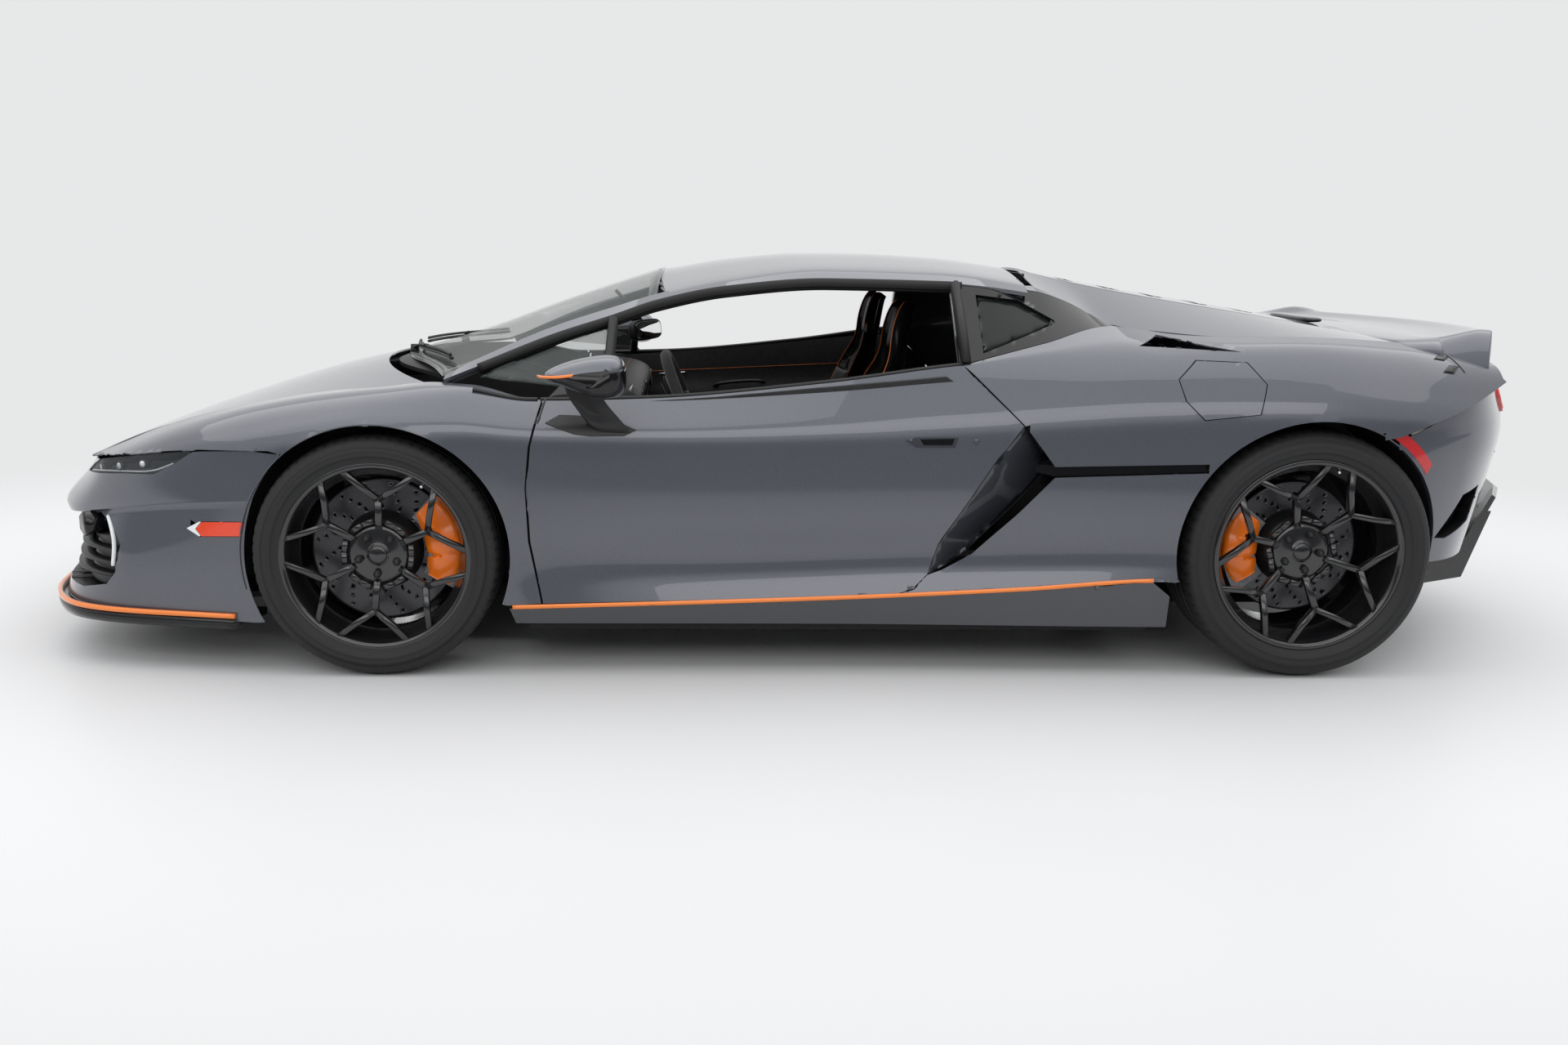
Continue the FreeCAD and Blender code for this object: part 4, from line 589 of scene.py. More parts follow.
# Rear quarters
# One large pressed panel a side runs from the door round the rear wheel and up to the deck.
# It holds the fuel door on the left, the scoop behind the door and the slot above the lower panel.
FUEL_OUTLINE = [
    (1.015, .806), (1.065, .756), (1.217, .774), (1.241, .855), (1.194, .912), (1.054, .915), (.999, .864),
]
SCOOP_OUTLINE = [
    (.303, .297), (.345, .312), (.427, .356), (.552, .477), (.653, .585), (1.085, .605), (1.085, .631),
    (.652, .616), (.5635, .73), (.522, .674), (.491, .637), (.336, .391),
]
WEDGE_INTAKE = [(.905, .95), (1.19, .94), (.975, .975)]
QUARTER_OUTLINE = [
    (.206, .2385), (.94, .289), (1.5, .3), (1.5, .69), (1.628, .7135), (1.895, .8115), (2.01, .8585),
    (2.01, 1.2), (.2, 1.2), (.2, .905), (.38, .905), (.4235, .868), (.5635, .73), (.522, .674), (.491, .637),
    (.336, .391), (.303, .297), (.265, .258),
]
quarter = body_surface(SIDE_LINES + ("post_foot",), SIDE_SOFTNESS + (0.5,))


def outset(ring, by):
    """An outline whose points move away from its middle by a fixed distance."""
    ring = np.array(ring)
    away = ring - ring.mean(axis=0)
    return ring + by * unit(away)


side_steps = (steps(.2, 2.0, PANEL_STEP), steps(0, 5, PANEL_STEP * 6))
side_holes = [rear_arch, SCOOP_OUTLINE, WEDGE_INTAKE]
left_shape = cut_panel(quarter, *side_steps, QUARTER_OUTLINE, side_holes + [outset(FUEL_OUTLINE, .003)])
right_shape = to_right(*cut_panel(quarter, *side_steps, QUARTER_OUTLINE, side_holes))
for hand, shape in (("left", left_shape), ("right", right_shape)):
    dressed("quarter_skin_" + hand, *shape, paint, "paint", replaces=("quarter_" + hand,))
points, faces = cut_panel(quarter, steps(.99, 1.25, .008), steps(2, 4, .05), FUEL_OUTLINE)
dressed("fuel_door", points, faces, paint, "paint", "fuel_flap", replaces=("fuel_flap",))

# Bonnet
# The bonnet is one pressed aluminium lid whose rear edge bows round the foot of the windscreen.
# It turns on two hinges at the screen and is latched behind the nose.
HOOD_EDGE = [(-2.165, .56, .566), (-2.0, .61, .64), (-1.85, .648, .69), (-1.62, .692, .748),
             (-1.4, .712, .785), (-1.25, .728, .8), (-1.128, .752, .81)]
HOOD_MIDDLE = [
    (-2.283, 0, .52), (-2.11, 0, .6), (-1.95, 0, .67), (-1.72, 0, .748), (-1.56, 0, .797), (-1.44, 0, .826),
    (-1.365, 0, .842),
]


def hood_surface(s, f):
    """Rows s from nose to screen; across a row the length bows with f to 2.2, the height with f to 1.7."""
    weights = blend(s, [0.5] * len(HOOD_EDGE))
    edge, middle = weights @ np.array(HOOD_EDGE), weights @ np.array(HOOD_MIDDLE)
    share = np.abs(f)
    x = middle[:, 0] + (edge[:, 0] - middle[:, 0]) * share ** 2.2
    z = middle[:, 2] + (edge[:, 2] - middle[:, 2]) * share ** 1.7
    return np.stack([x, edge[:, 1] * f, z], axis=1)


def grid_sheet(surface, us, vs):
    """Every point of a surface over two lists of values, joined in quads."""
    u, v = (grid.ravel() for grid in np.meshgrid(us, vs, indexing="ij"))
    return surface(u, v), lattice(len(us), len(vs)).tolist()


points, faces = grid_sheet(hood_surface, steps(0, 6, .11), steps(-1, 1, .028))
dressed("bonnet_skin", points, faces, paint, "paint", "hood", depth=0.006, replaces=("hood",))

# Front bumper
# One moulded cover wraps the nose and runs back to both wheel arches; its three mouths hold black grilles.
# A sharp crease under the beak parts the upper face from the mouths.
BUMPER_NET = [
    [(-2.322, 0, .166), (-2.3, 0, .24), (-2.28, 0, .33), (-2.262, 0, .388), (-2.335, 0, .394),
     (-2.353, 0, .43), (-2.305, 0, .5), (-2.292, 0, .512), (-2.285, 0, .518)],
    [(-2.302, .45, .166), (-2.272, .45, .24), (-2.247, .45, .33), (-2.222, .45, .39), (-2.285, .45, .396),
     (-2.313, .45, .43), (-2.24, .45, .5), (-2.215, .45, .53), (-2.198, .45, .548)],
    [(-2.215, .7, .166), (-2.195, .7, .24), (-2.18, .69, .33), (-2.16, .69, .412), (-2.186, .7, .418),
     (-2.186, .69, .44), (-2.135, .68, .505), (-2.12, .665, .542), (-2.11, .655, .568)],
    [(-2.06, .838, .166), (-2.05, .836, .24), (-2.05, .83, .33), (-2.045, .808, .441), (-2.055, .81, .447),
     (-2.05, .795, .464), (-2.05, .77, .51), (-2.05, .752, .552), (-2.05, .735, .585)],
    [(-1.85, .892, .155), (-1.85, .893, .24), (-1.85, .893, .33), (-1.85, .88, .473), (-1.85, .884, .479),
     (-1.85, .88, .492), (-1.85, .874, .525), (-1.85, .868, .57), (-1.85, .857, .62)],
    [(-1.6, .935, .15), (-1.6, .938, .24), (-1.6, .94, .33), (-1.6, .938, .491), (-1.6, .938, .497),
     (-1.6, .938, .51), (-1.6, .937, .54), (-1.6, .936, .59), (-1.6, .932, .645)],
    [(-1.46, .95, .15), (-1.46, .954, .24), (-1.46, .955, .33), (-1.46, .958, .5), (-1.46, .958, .506),
     (-1.46, .958, .518), (-1.46, .957, .55), (-1.46, .955, .6), (-1.46, .952, .665)],
]
NOSE_VIEW = np.array([(math.sqrt(0.5), 0), (-math.sqrt(0.5), 0), (0, 1)])


def drawn(view, ring):
    """An outline of places given as length, half-width and height, seen flat on the left side."""
    return np.array(ring, dtype=float) * (1, -1, 1) @ view


def left_net(net):
    """A net drawn with half-widths from the centre out, set on the left; its second row is mirrored first."""
    net = np.array(net, dtype=float) * (1, -1, 1)
    return np.concatenate([net[1:2] * (1, -1, 1), net])


bumper = net_surface(left_net(BUMPER_NET), [.5] * 8, (.5, .5, .5, .12, .12, .5, .5, .5, .5))
BUMPER_EDGE = drawn(NOSE_VIEW, [
    (-2.6, 0, .1), (-1.465, .955, .1), (-1.465, .955, .6), (-1.51, .95, .63), (-1.6, .935, .637),
    (-1.742, .91, .629), (-1.85, .857, .617), (-2.05, .735, .583), (-2.11, .655, .567), (-2.2, .45, .5465),
    (-2.2855, .012, .5165), (-2.6, .0, .5165),
])
LAMP_RING = drawn(NOSE_VIEW, [
    (-2.178, .56, .52), (-2.095, .7, .535), (-1.981, .793, .549), (-1.882, .848, .556), (-1.815, .87, .59),
    (-1.762, .885, .624), (-1.85, .857, .64), (-2.038, .736, .61), (-2.1, .67, .571), (-2.155, .6, .543),
])
MOUTH_RING = drawn(NOSE_VIEW, [
    (-2.29, .225, .262), (-2.275, .31, .215), (-2.235, .6, .21), (-2.13, .76, .212), (-2.045, .834, .235),
    (-2.008, .84, .272), (-1.99, .845, .355), (-2.02, .825, .404), (-2.058, .79, .436), (-2.13, .73, .42),
    (-2.17, .69, .408), (-2.24, .4, .386), (-2.27, .26, .352),
])
MIDDLE_RING = drawn(NOSE_VIEW, [
    (-2.3, -.02, .235), (-2.29, .165, .235), (-2.285, .19, .265), (-2.28, .165, .298), (-2.29, -.02, .298),
])
MARKER_RING = drawn(NOSE_VIEW, [
    (-1.782, .9, .413), (-1.742, .909, .391), (-1.622, .934, .396), (-1.612, .935, .439),
    (-1.742, .909, .434),
])
arch_ring = np.stack([(front_arch[:, 0] + .945) * math.sqrt(0.5), front_arch[:, 1]], axis=1)
nose_holes = [LAMP_RING, MOUTH_RING, MIDDLE_RING, MARKER_RING, arch_ring]
shape = cut_panel(bumper, steps(1, 7, .042), steps(0, 8, .18), BUMPER_EDGE, nose_holes, NOSE_VIEW)
both("bumper_skin", shape, paint, "paint", replaces=("front_bumper",))

# Roof and pillars
# The roof skin runs between the cant rails; a painted pillar carries on from each rail down to the cowl.
# Black posts with a small fixed pane stand behind the doors.
roof = body_surface(("rail_foot", "rail_top", "roof_middle", "-rail_top", "-rail_foot"),
                    (.5, .32, .5, .32, .5))
ROOF_OUTLINE = [
    (-.449, -.66), (.612, -.7), (.632, -.3), (.642, 0), (.632, .3), (.612, .7), (-.449, .66), (-.478, .3),
    (-.485, 0), (-.478, -.3),
]
points, faces = cut_panel(roof, steps(-.5, .66, .02), steps(0, 4, .1), ROOF_OUTLINE, view=PLAN_VIEW)
dressed("roof_skin", points, faces, paint, "paint", depth=0.012, replaces=("roof_frame",))
pillar = body_surface(("rail_foot", "rail_top"), (.5, .5))
both("pillar", grid_sheet(pillar, steps(-1.078, -.447, .01), steps(0, 1, .125)), paint, "paint", depth=0.012)

gloss_black = finish("black_gloss", (.006, .006, .007), 0.12, coat=0.35, specular=0.3)
grained(gloss_black, 240.0, 0.00001)
LINES["post_top"] = [
    (.377, .624, 1.112), (.5, .63, 1.106), (.64, .605, 1.094), (.75, .606, 1.06), (.86, .652, 1.001),
]
post = body_surface(("post_foot", "post_top"), (.5, .5))
PANE_REAR = [(.458, .922), (.695, 1.008), (.585, 1.068), (.458, 1.082)]
POST_OUTLINE = [(.386, .86), (.865, .99), (.865, 1.02), (.7, 1.16), (.386, 1.16)]


def sunk(surface, depth):
    """The same surface moved inward along its normal, found from two small steps."""
    def point(u, v):
        here = surface(u, v)
        du = surface(u + 1e-4, v) - here
        dv = surface(u, v + 1e-4) - surface(u, v - 1e-4)
        return here - unit(np.cross(du, dv)) * depth

    return point


shape = cut_panel(post, steps(.384, .868, .012), steps(.01, .99, .06), POST_OUTLINE, [PANE_REAR])
both("rear_post", shape, gloss_black, "black_gloss", depth=0.014, rim=0.002)

# Glass
# Laminated screen, fixed panes ahead of and behind each door window, and an upright pane to the engine bay.
# A black printed band hides the glue round the screen.
SCREEN_NET = [
    [(-1.085, -.765, .838), (-.972, -.712, .884), (-.772, -.648, .965), (-.604, -.608, 1.023),
     (-.484, -.585, 1.062)],
    [(-1.17, -.47, .846), (-1.025, -.47, .895), (-.803, -.47, .985), (-.617, -.47, 1.053), (-.48, -.45, 1.1)],
    [(-1.285, -.24, .85), (-1.105, -.24, .902), (-.85, -.24, 1.001), (-.636, -.24, 1.077),
     (-.477, -.23, 1.13)],
    [(-1.318, 0, .851), (-1.12, 0, .904), (-.86, 0, 1.006), (-.64, 0, 1.084), (-.475, 0, 1.138)],
]
screen_rows = np.array(SCREEN_NET)
screen_rows = np.concatenate([screen_rows, screen_rows[-2::-1] * (1, -1, 1)])
screen = net_surface(screen_rows, [.5] * 7, [.5] * 5)
glass = scuffed(finish("clear_glass", (.12, .14, .135), 0.02, alpha=0.26, ior=1.5), 3.0, 0.01, 0.04)
shape = flipped(*grid_sheet(screen, steps(0, 6, .12), steps(0, 4, .12)))
dressed("windscreen_glass", *shape, glass, "window_glass", depth=0.005, rim=0, replaces=("windscreen",))


def joined(*shapes):
    """Several meshes as one."""
    points, faces, start = [], [], 0
    for found, quads in shapes:
        points.append(np.asarray(found, dtype=float))
        faces += [tuple(corner + start for corner in quad) for quad in quads]
        start += len(found)
    return np.concatenate(points), faces


def border(surface, us, vs, width_u, width_v):
    """The outer band of a sheet, four strips as wide as given in each direction."""
    spans = [(us, vs[vs <= vs[0] + width_v]), (us, vs[vs >= vs[-1] - width_v]),
             (us[us <= us[0] + width_u], vs), (us[us >= us[-1] - width_u], vs)]
    return joined(*[grid_sheet(surface, *span) for span in spans])


points, faces = border(screen, steps(.01, 5.99, .1), steps(.01, 3.99, .1), .3, .22)
shape = flipped(points - (0, 0, .0075), faces)
dressed("screen_band", *shape, gloss_black, "black_gloss", depth=0.001, rim=0)
PANE_FRONT = [(-.975, .836), (-.618, .803), (-.618, .968), (-.76, .922)]
side_pane = body_surface(("crown", "rail_foot"), (.5, .5))
shape = cut_panel(sunk(side_pane, .01), steps(-1.0, -.6, .014), steps(0, 1, .08), PANE_FRONT)
both("front_pane", shape, glass, "window_glass", depth=0.004, rim=0, replaces=("side_glass",))
tinted = finish("tinted_glass", (.02, .024, .023), 0.03, alpha=0.8, ior=1.5, specular=0.25)
scuffed(tinted, 3.0, 0.02, 0.05)
shape = cut_panel(sunk(post, .012), steps(.44, .71, .012), steps(0, 1, .08), PANE_REAR)
both("rear_pane", shape, tinted, "window_glass", depth=0.004, rim=0)

# Window seals
# Extruded rubber runs along the cant rail, the belt and both posts of each door window.
# It is pressed onto the flanges of the body, and the belt's strip rides on the door.
seal_rubber = grained(finish("seal_rubber", (.012, .012, .013), 0.55), 900.0, 0.00005)


def tube(rows, around, turned=False):
    """Quads round a tube of rows of points, with a face over each end."""
    caps = [tuple(range(around)), tuple(range((rows - 1) * around, rows * around))[::-1]]
    return lattice(rows, around, 0, 1, turned).tolist() + [cap[::-1] if turned else cap for cap in caps]


def carried(path, profile, up=(0, 0, 1), closed=False):
    """A closed profile carried along a path: its first value to the side, its second along the given up."""
    path = np.asarray(path, dtype=float)
    run = np.gradient(path, axis=0)
    if closed:
        run = np.roll(path, -1, axis=0) - np.roll(path, 1, axis=0)
    run = unit(run)
    side_way = unit(np.cross(run, np.asarray(up, dtype=float)))
    rise = np.cross(side_way, run)
    profile = np.asarray(profile, dtype=float)
    points = path[:, None] + profile[None, :, :1] * side_way[:, None] + profile[None, :, 1:] * rise[:, None]
    count, around = len(path), len(profile)
    return points.reshape(-1, 3), lattice(count, around, 1, 1).tolist() if closed else tube(count, around)


def smooth_path(corners, count=60, softness=0.5, closed=False):
    """A path blended round its corners, quadratic within the given softness of each."""
    corners = np.asarray(corners, dtype=float)
    if closed:
        corners = np.concatenate([corners[-1:], corners, corners[:2]])
        t = np.linspace(1, len(corners) - 2, count, endpoint=False)
        return blend(t, [softness] * len(corners)) @ corners
    return blend(np.linspace(0, len(corners) - 1, count), [softness] * len(corners)) @ corners


def oval(wide, high, count=10):
    """An oval profile."""
    a = turns(count)
    return np.stack([wide / 2 * np.cos(a), high / 2 * np.sin(a)], axis=1)


def line_path(name, first, last, count=60, out=0.0, rise=0.0):
    """Points along a styling line on the left side, moved out and up a little."""
    x = np.linspace(first, last, count)
    y, z = on_line(name, x)
    return np.stack([x, -(y + out), z + rise], axis=1)


seal = joined(carried(line_path("rail_foot", -.985, .42, 80, .001, -.008), oval(.016, .03)),
              carried(line_path("rail_foot", -.975, .4, 80, -.012, -.022), oval(.022, .016)),
              carried(line_path("crown", -.985, -.806, 20, -.014, .002), oval(.02, .012)),
              carried([(-.622, -.846, .792), (-.612, -.77, .88), (-.604, -.668, .996)], oval(.03, .034)),
              carried([(.405, -.846, .895), (.402, -.77, .985), (.398, -.64, 1.105)], oval(.03, .05)))
belt = carried(line_path("crown", -.798, .395, 80, -.014, .002), oval(.02, .012))
both("window_seals", seal, seal_rubber, "black_trim", depth=0)
both("belt_seal", belt, seal_rubber, "black_trim", "door_{}", depth=0)

# Rear deck and engine lid
# Painted buttresses fall from the roof to the tail on both sides of a louvred engine lid.
# The lid is one moulding on two hinges, with five black blades set in its openings.
deck = body_surface(("deck_edge", "deck_spine"), (.5, .5))
shape = grid_sheet(deck, steps(.648, 1.985, .012), steps(0.002, .995, .05))
both("deck_skin", shape, paint, "paint")
buttress = body_surface(("post_top", "deck_edge"), (.5, .5))
both("buttress_strip", grid_sheet(buttress, steps(.6, .86, .01), steps(0, 1, .25)), paint, "paint")
lid = body_surface(("deck_spine", "deck_middle", "-deck_spine"), (.5, .5, .5))
LOUVRE_PLACES = np.linspace(.8, 1.4, 5)
LOUVRES = [[(x, -.25), (x + .045, -.25), (x + .045, .25), (x, .25)] for x in LOUVRE_PLACES]
LID_OUTLINE = [(.694, -.6), (1.64, -.6), (1.64, .6), (.694, .6)]
shape = cut_panel(lid, steps(.694, 1.64, .016), steps(.03, 1.97, .08), LID_OUTLINE, LOUVRES, PLAN_VIEW)
dressed("engine_lid_skin", *shape, paint, "paint", "engine_cover", depth=0.008, replaces=("engine_cover",))


def slat(start):
    """A blade under one opening: it falls from 4 to 34 mm below the lid as it runs back."""
    def point(u, v):
        fall = np.interp(u, [0, 1, 2], [-.004, -.012, -.034])
        return lid(np.interp(u, [0, 1, 2], start + np.array([-.012, .02, .05])), v) + fall[:, None] * (0, 0,
                                                                                                       1)

    return grid_sheet(point, steps(0, 2, .25), steps(.32, 1.68, .1))


slats = joined(*[slat(x) for x in LOUVRE_PLACES])
dressed("engine_lid_slats", *slats, gloss_black, "black_gloss", "engine_cover", depth=0.004, rim=0)
points, faces = grid_sheet(lid, steps(1.646, 1.985, .014), steps(.005, 1.995, .06))
dressed("tail_deck_skin", points, faces, paint, "paint")

# Ducktail
# A moulded wing stands across the tail; its lip is sharp and three black slots lie in each end.
# It is painted with the body and bonded to the deck and the quarters.
def tail_wing(u, v):
    """Sections across the car: the lip draws forward with the half-width squared, and both ends close."""
    share = np.abs(u)
    lip = 2.195 - .235 * share ** 2
    front = 1.655 + .05 * share ** 2
    ring = np.array([
        (0, 0, .955), (0, .01, .972), (0, .13, .978), (1, -.16, .974), (1, -.05, .991), (1, -.004, .989),
        (1, -.001, .964), (1, -.016, .874), (1, -.058, .874), (1, -.06, .93), (0, .12, .94), (0, 0, .955),
    ])
    weights = blend(v, [.5, .3, .5, .5, .3, .12, .12, .15, .15, .3, .5, .5])
    share_lip, offset, height = (weights @ ring).T
    low = .94 - .066 * share_lip
    close = np.sqrt(np.clip(1 - (np.clip(share - .9, 0, .1) / .1) ** 2, 0, 1))
    ear = .014 * np.exp(-((share - .88) / .06) ** 2) * np.clip((height - .96) / .03, 0, 1) * share_lip
    x = front * (1 - share_lip) + lip * share_lip + offset
    return np.stack([x, u * .8, low + (height + ear - low) * close], axis=1)


shape = flipped(*grid_sheet(tail_wing, np.sin(steps(-1, 1, .04) * math.pi / 2), steps(0, 11, .14)))
dressed("ducktail", *shape, paint, "paint", depth=0, replaces=("rear_spoiler",))

# Rear bumper
# One moulded cover closes the tail between the arches, with a black grille across it.
# It is clipped to the quarters and screwed to the crash bar behind it.
TAIL_NET = [
    [(2.2, 0, .33), (2.262, 0, .5), (2.335, 0, .7), (2.245, 0, .848)],
    [(2.18, .3, .33), (2.232, .3, .5), (2.3, .3, .7), (2.218, .3, .848)],
    [(2.05, .6, .33), (2.097, .6, .5), (2.137, .6, .7), (2.092, .6, .85)],
    [(1.915, .81, .33), (1.94, .83, .5), (1.965, .845, .7), (1.945, .82, .85)],
    [(1.76, .895, .33), (1.77, .925, .5), (1.78, .938, .7), (1.775, .905, .848)],
    [(1.6, .95, .33), (1.6, .972, .5), (1.6, .974, .7), (1.6, .93, .845)],
]
TAIL_VIEW = np.array([(-math.sqrt(0.5), 0), (-math.sqrt(0.5), 0), (0, 1)])
tail = net_surface(left_net(TAIL_NET), [.5] * 7, [.5, .5, .3, .5])
TAIL_EDGE = drawn(TAIL_VIEW, [
    (2.6, 0, .325), (2.18, .3, .325), (1.76, .895, .325), (1.62, .945, .4), (1.62, .95, .7), (1.77, .9, .762),
    (1.895, .84, .808), (1.99, .78, .85), (2.06, .66, .856), (2.215, .3, .856), (2.6, 0, .856),
])
LAMP_UV = [(2.22, 2.6), (2.42, 2.93), (2.8, 2.93), (2.98, 2.6), (2.8, 2.27), (2.42, 2.27)]
LAMP_CUT = tail(*np.array(LAMP_UV).T) @ TAIL_VIEW
GRILLE_CUT = drawn(TAIL_VIEW, [
    (2.6, 0, .56), (2.14, .56, .56), (2.09, .6, .6), (2.13, .575, .745), (2.6, 0, .745),
])
OUTLET_CUT = drawn(TAIL_VIEW, [
    (1.8, .885, .405), (1.86, .875, .4), (1.97, .8, .44), (1.985, .79, .55), (1.9, .865, .53),
])


def seen_width(surface, us, vs, x, z):
    """Half-width of a surface at places given in side view, from the nearest of many samples."""
    u, v = (grid.ravel() for grid in np.meshgrid(us, vs, indexing="ij"))
    samples = surface(u, v)
    return np.array([-samples[((samples[:, 0] - a) ** 2 + (samples[:, 2] - b) ** 2).argmin(), 1] for a,
                     b in zip(np.ravel(x), np.ravel(z))])


def rear_width(x, z):
    """Half-width of the seen rear body: the bumper's behind the arch's crown, the quarter's ahead of it."""
    behind = seen_width(tail, steps(4.3, 6, .012), steps(0, 3, .02), x, z)
    ahead = seen_width(side, steps(.9, 1.75, .008), steps(0, 4, .02), x, z)
    return np.where((x > 1.6) & (z < .71), behind, ahead)


rear_ring = np.stack([(-rear_arch[:, 0] + rear_width(*rear_arch.T)) * math.sqrt(0.5), rear_arch[:, 1]],
                     axis=1)
tail_holes = [LAMP_CUT, GRILLE_CUT, OUTLET_CUT, rear_ring]
shape = flipped(*cut_panel(tail, steps(1, 6, .04), steps(0, 3, .07), TAIL_EDGE, tail_holes, TAIL_VIEW))
both("tail_skin", shape, paint, "paint", replaces=("rear_bumper",))

# Wheel arches and door seals
# A flange turns in round each rear arch, and a black moulded liner is screwed in behind every arch.
# A rubber seal is pressed on behind the shut line of each door.
LINER_REACH = 1.2


def arch_strip(axle, radius, width, ins, first, last):
    """Rows round an arch: near ones inside the seen body by their own distance, deep ones in the reach."""
    a = np.radians(steps(first, last, 2))
    x, z = axle[0] + radius * np.cos(a), axle[1] + radius * np.sin(a)
    outer = width(x, z)
    wides = [outer if inside < .2 else np.full(len(a), LINER_REACH) for inside in ins]
    rows = [np.stack([x, inside - wide, z], axis=1) for inside, wide in zip(ins, wides)]
    return np.concatenate(rows), lattice(len(ins), len(a), turned=True).tolist()


def front_width(x, z):
    """Half-width of the seen front body from the nearest sample of the flank."""
    return seen_width(side, steps(-1.8, -.8, .01), steps(0, 4, .02), x, z)


liner_black = finish("liner_black", (.012, .012, .013), 0.85)
speckle(liner_black, 160.0, (.009, .009, .009), (.02, .019, .018))
grained(liner_black, 420.0, 0.0006, "Voronoi")
rear_flange = arch_strip(REAR_AXLE, REAR_ARCH_RADIUS, rear_width, FLANGE_ROWS, -2, 182)
rear_liner = arch_strip(REAR_AXLE, REAR_ARCH_RADIUS + .012, rear_width, (.008, .07, .5, .62), -8, 188)
front_liner = arch_strip(FRONT_AXLE, FRONT_ARCH_RADIUS + .012, front_width, (.008, .07, .45, .57), -14, 190)
DOOR_SEAL = [(-.782, .777), (-.812, .658), (-.823, .543), (-.816, .389), (-.783, .22), (0, .24), (.2, .247),
             (.257, .267), (.298, .303), (.328, .391), (.482, .64), (.512, .676), (.552, .73), (.42, .85)]
seal_path = smooth_path([(x, 0, z) for x, z in DOOR_SEAL], 120, .12)
seal_path[:, 1] = -seen_width(side, steps(-.9, .62, .01), steps(0, 4, .02), seal_path[:, 0],
                              seal_path[:, 2]) + .013
both("rear_arch_flange", rear_flange, paint, "paint", depth=0.003)
liners = joined(rear_liner, front_liner)
both("wheel_liners", liners, liner_black, "black_trim", depth=0, replaces=("arch_liners",))
both("door_seal", carried(seal_path, oval(.012, .022)), seal_rubber, "black_trim", depth=0)

# Intakes, lamps and side markers
# Each mouth in the nose is a black moulded tray with swept slats, clipped in from behind.
# Slim clear lamps with three lit modules lie above, and orange markers are set in beside them.
def shifted(points, faces, depth):
    """Every point moved inward against its mesh normal by a depth."""
    points = np.asarray(points, dtype=float)
    normal = np.zeros_like(points)
    for size_of_face in (3, 4):
        chosen = np.array([face for face in faces if len(face) == size_of_face])
        if len(chosen):
            square = np.cross(points[chosen[:, 2]] - points[chosen[:, 0]],
                              points[chosen[:, -1]] - points[chosen[:, 1]])
            for column in range(size_of_face):
                np.add.at(normal, chosen[:, column], square)
    return points - unit(normal) * depth


def lifted(points, faces, height):
    """The same sheet raised along its normals."""
    return shifted(points, faces, -height), faces


def tray(points, faces, lip, depth, run=None):
    """A sheet's copy sunk by a depth, or moved by a straight run, with a wall up to the lip all round it."""
    edges = dict.fromkeys((a, b) for face in faces for a, b in zip(face, face[1:] + face[:1]))
    high = shifted(points, faces, lip)
    low = shifted(points, faces, depth) if run is None else np.asarray(points) + run
    count = len(points)
    walls = [(a + count, b + count, b, a) for a, b in edges if (b, a) not in edges]
    floor_faces = [tuple(corner + count for corner in face) for face in faces]
    return np.concatenate([high, low]), walls + floor_faces


satin_black = grained(finish("satin_black", (.012, .012, .013), 0.42), 700.0, 0.00006)
lamp_clear = scuffed(finish("lamp_clear", (.1, .11, .12), 0.03, alpha=0.2, ior=1.5), 4.0, 0.01, 0.05)
pale_guide = scuffed(finish("light_guide", (.82, .84, .86), 0.25, coat=0.6), 30.0, 0.18, 0.32)
orange_lens = grained(finish("orange_lens", (.8, .055, .012), 0.12, coat=1.0), 420.0, 0.0004, "Voronoi")
red_lens = grained(finish("red_lens", (.52, .012, .014), 0.12, coat=1.0), 420.0, 0.0004, "Voronoi")
bright_metal = scuffed(finish("bright_metal", (.75, .76, .78), 0.16, metallic=1.0), 60.0, 0.1, 0.24)

NOSE_STEPS = (steps(1, 7, .02), steps(0, 8, .08))
black_parts = []
for ring, run in ((MOUTH_RING, (.05, .022, 0)), (MIDDLE_RING, (.05, 0, 0))):
    points, faces = cut_panel(bumper, *NOSE_STEPS, ring, view=NOSE_VIEW)
    black_parts.append(tray(points, faces, .002, 0, run))
SLAT_SECTION = [(.012, .005, 0), (.044, .019, .004), (.044, .019, .01), (.012, .005, .006)]
for level in np.linspace(.75, 2.75, 6):
    front_row = bumper(np.linspace(1.2, 4.6, 160), np.full(160, level))
    gap, _, inside = ring_distance(front_row @ NOSE_VIEW, MOUTH_RING)
    front_row = front_row[inside & (gap > .012)]
    if len(front_row) > 5:
        rows = np.concatenate([front_row + corner for corner in SLAT_SECTION])
        black_parts.append((rows, lattice(4, len(front_row), 1, 0, True).tolist()))
both("nose_intakes", joined(*black_parts), satin_black, "black_gloss", depth=0)

points, faces = cut_panel(bumper, *NOSE_STEPS, LAMP_RING, view=NOSE_VIEW)
housing = tray(points, faces, .001, 0, (.014, .026, -.024))
both("lamp_housing", housing, satin_black, "lamp_lens", depth=0, replaces=("headlamps",))
both("lamp_cover", lifted(points, faces, -.0025), lamp_clear, "lamp_lens", depth=0.002, rim=0)


def barrel(start, end, radius, count=24, tip=1.0):
    """A closed round bar from a start to an end point, its end scaled by a tip share."""
    start, end = np.array(start, dtype=float), np.array(end, dtype=float)
    run = unit(end - start)
    side_way = unit(np.cross(run, (0, 0, 1) if abs(run[2]) < 0.9 else (1, 0, 0)))
    rise = np.cross(run, side_way)
    a = turns(count)
    ring = radius * (np.cos(a)[:, None] * side_way + np.sin(a)[:, None] * rise)
    return np.concatenate([start + ring, end + ring * tip]), tube(2, count, True)


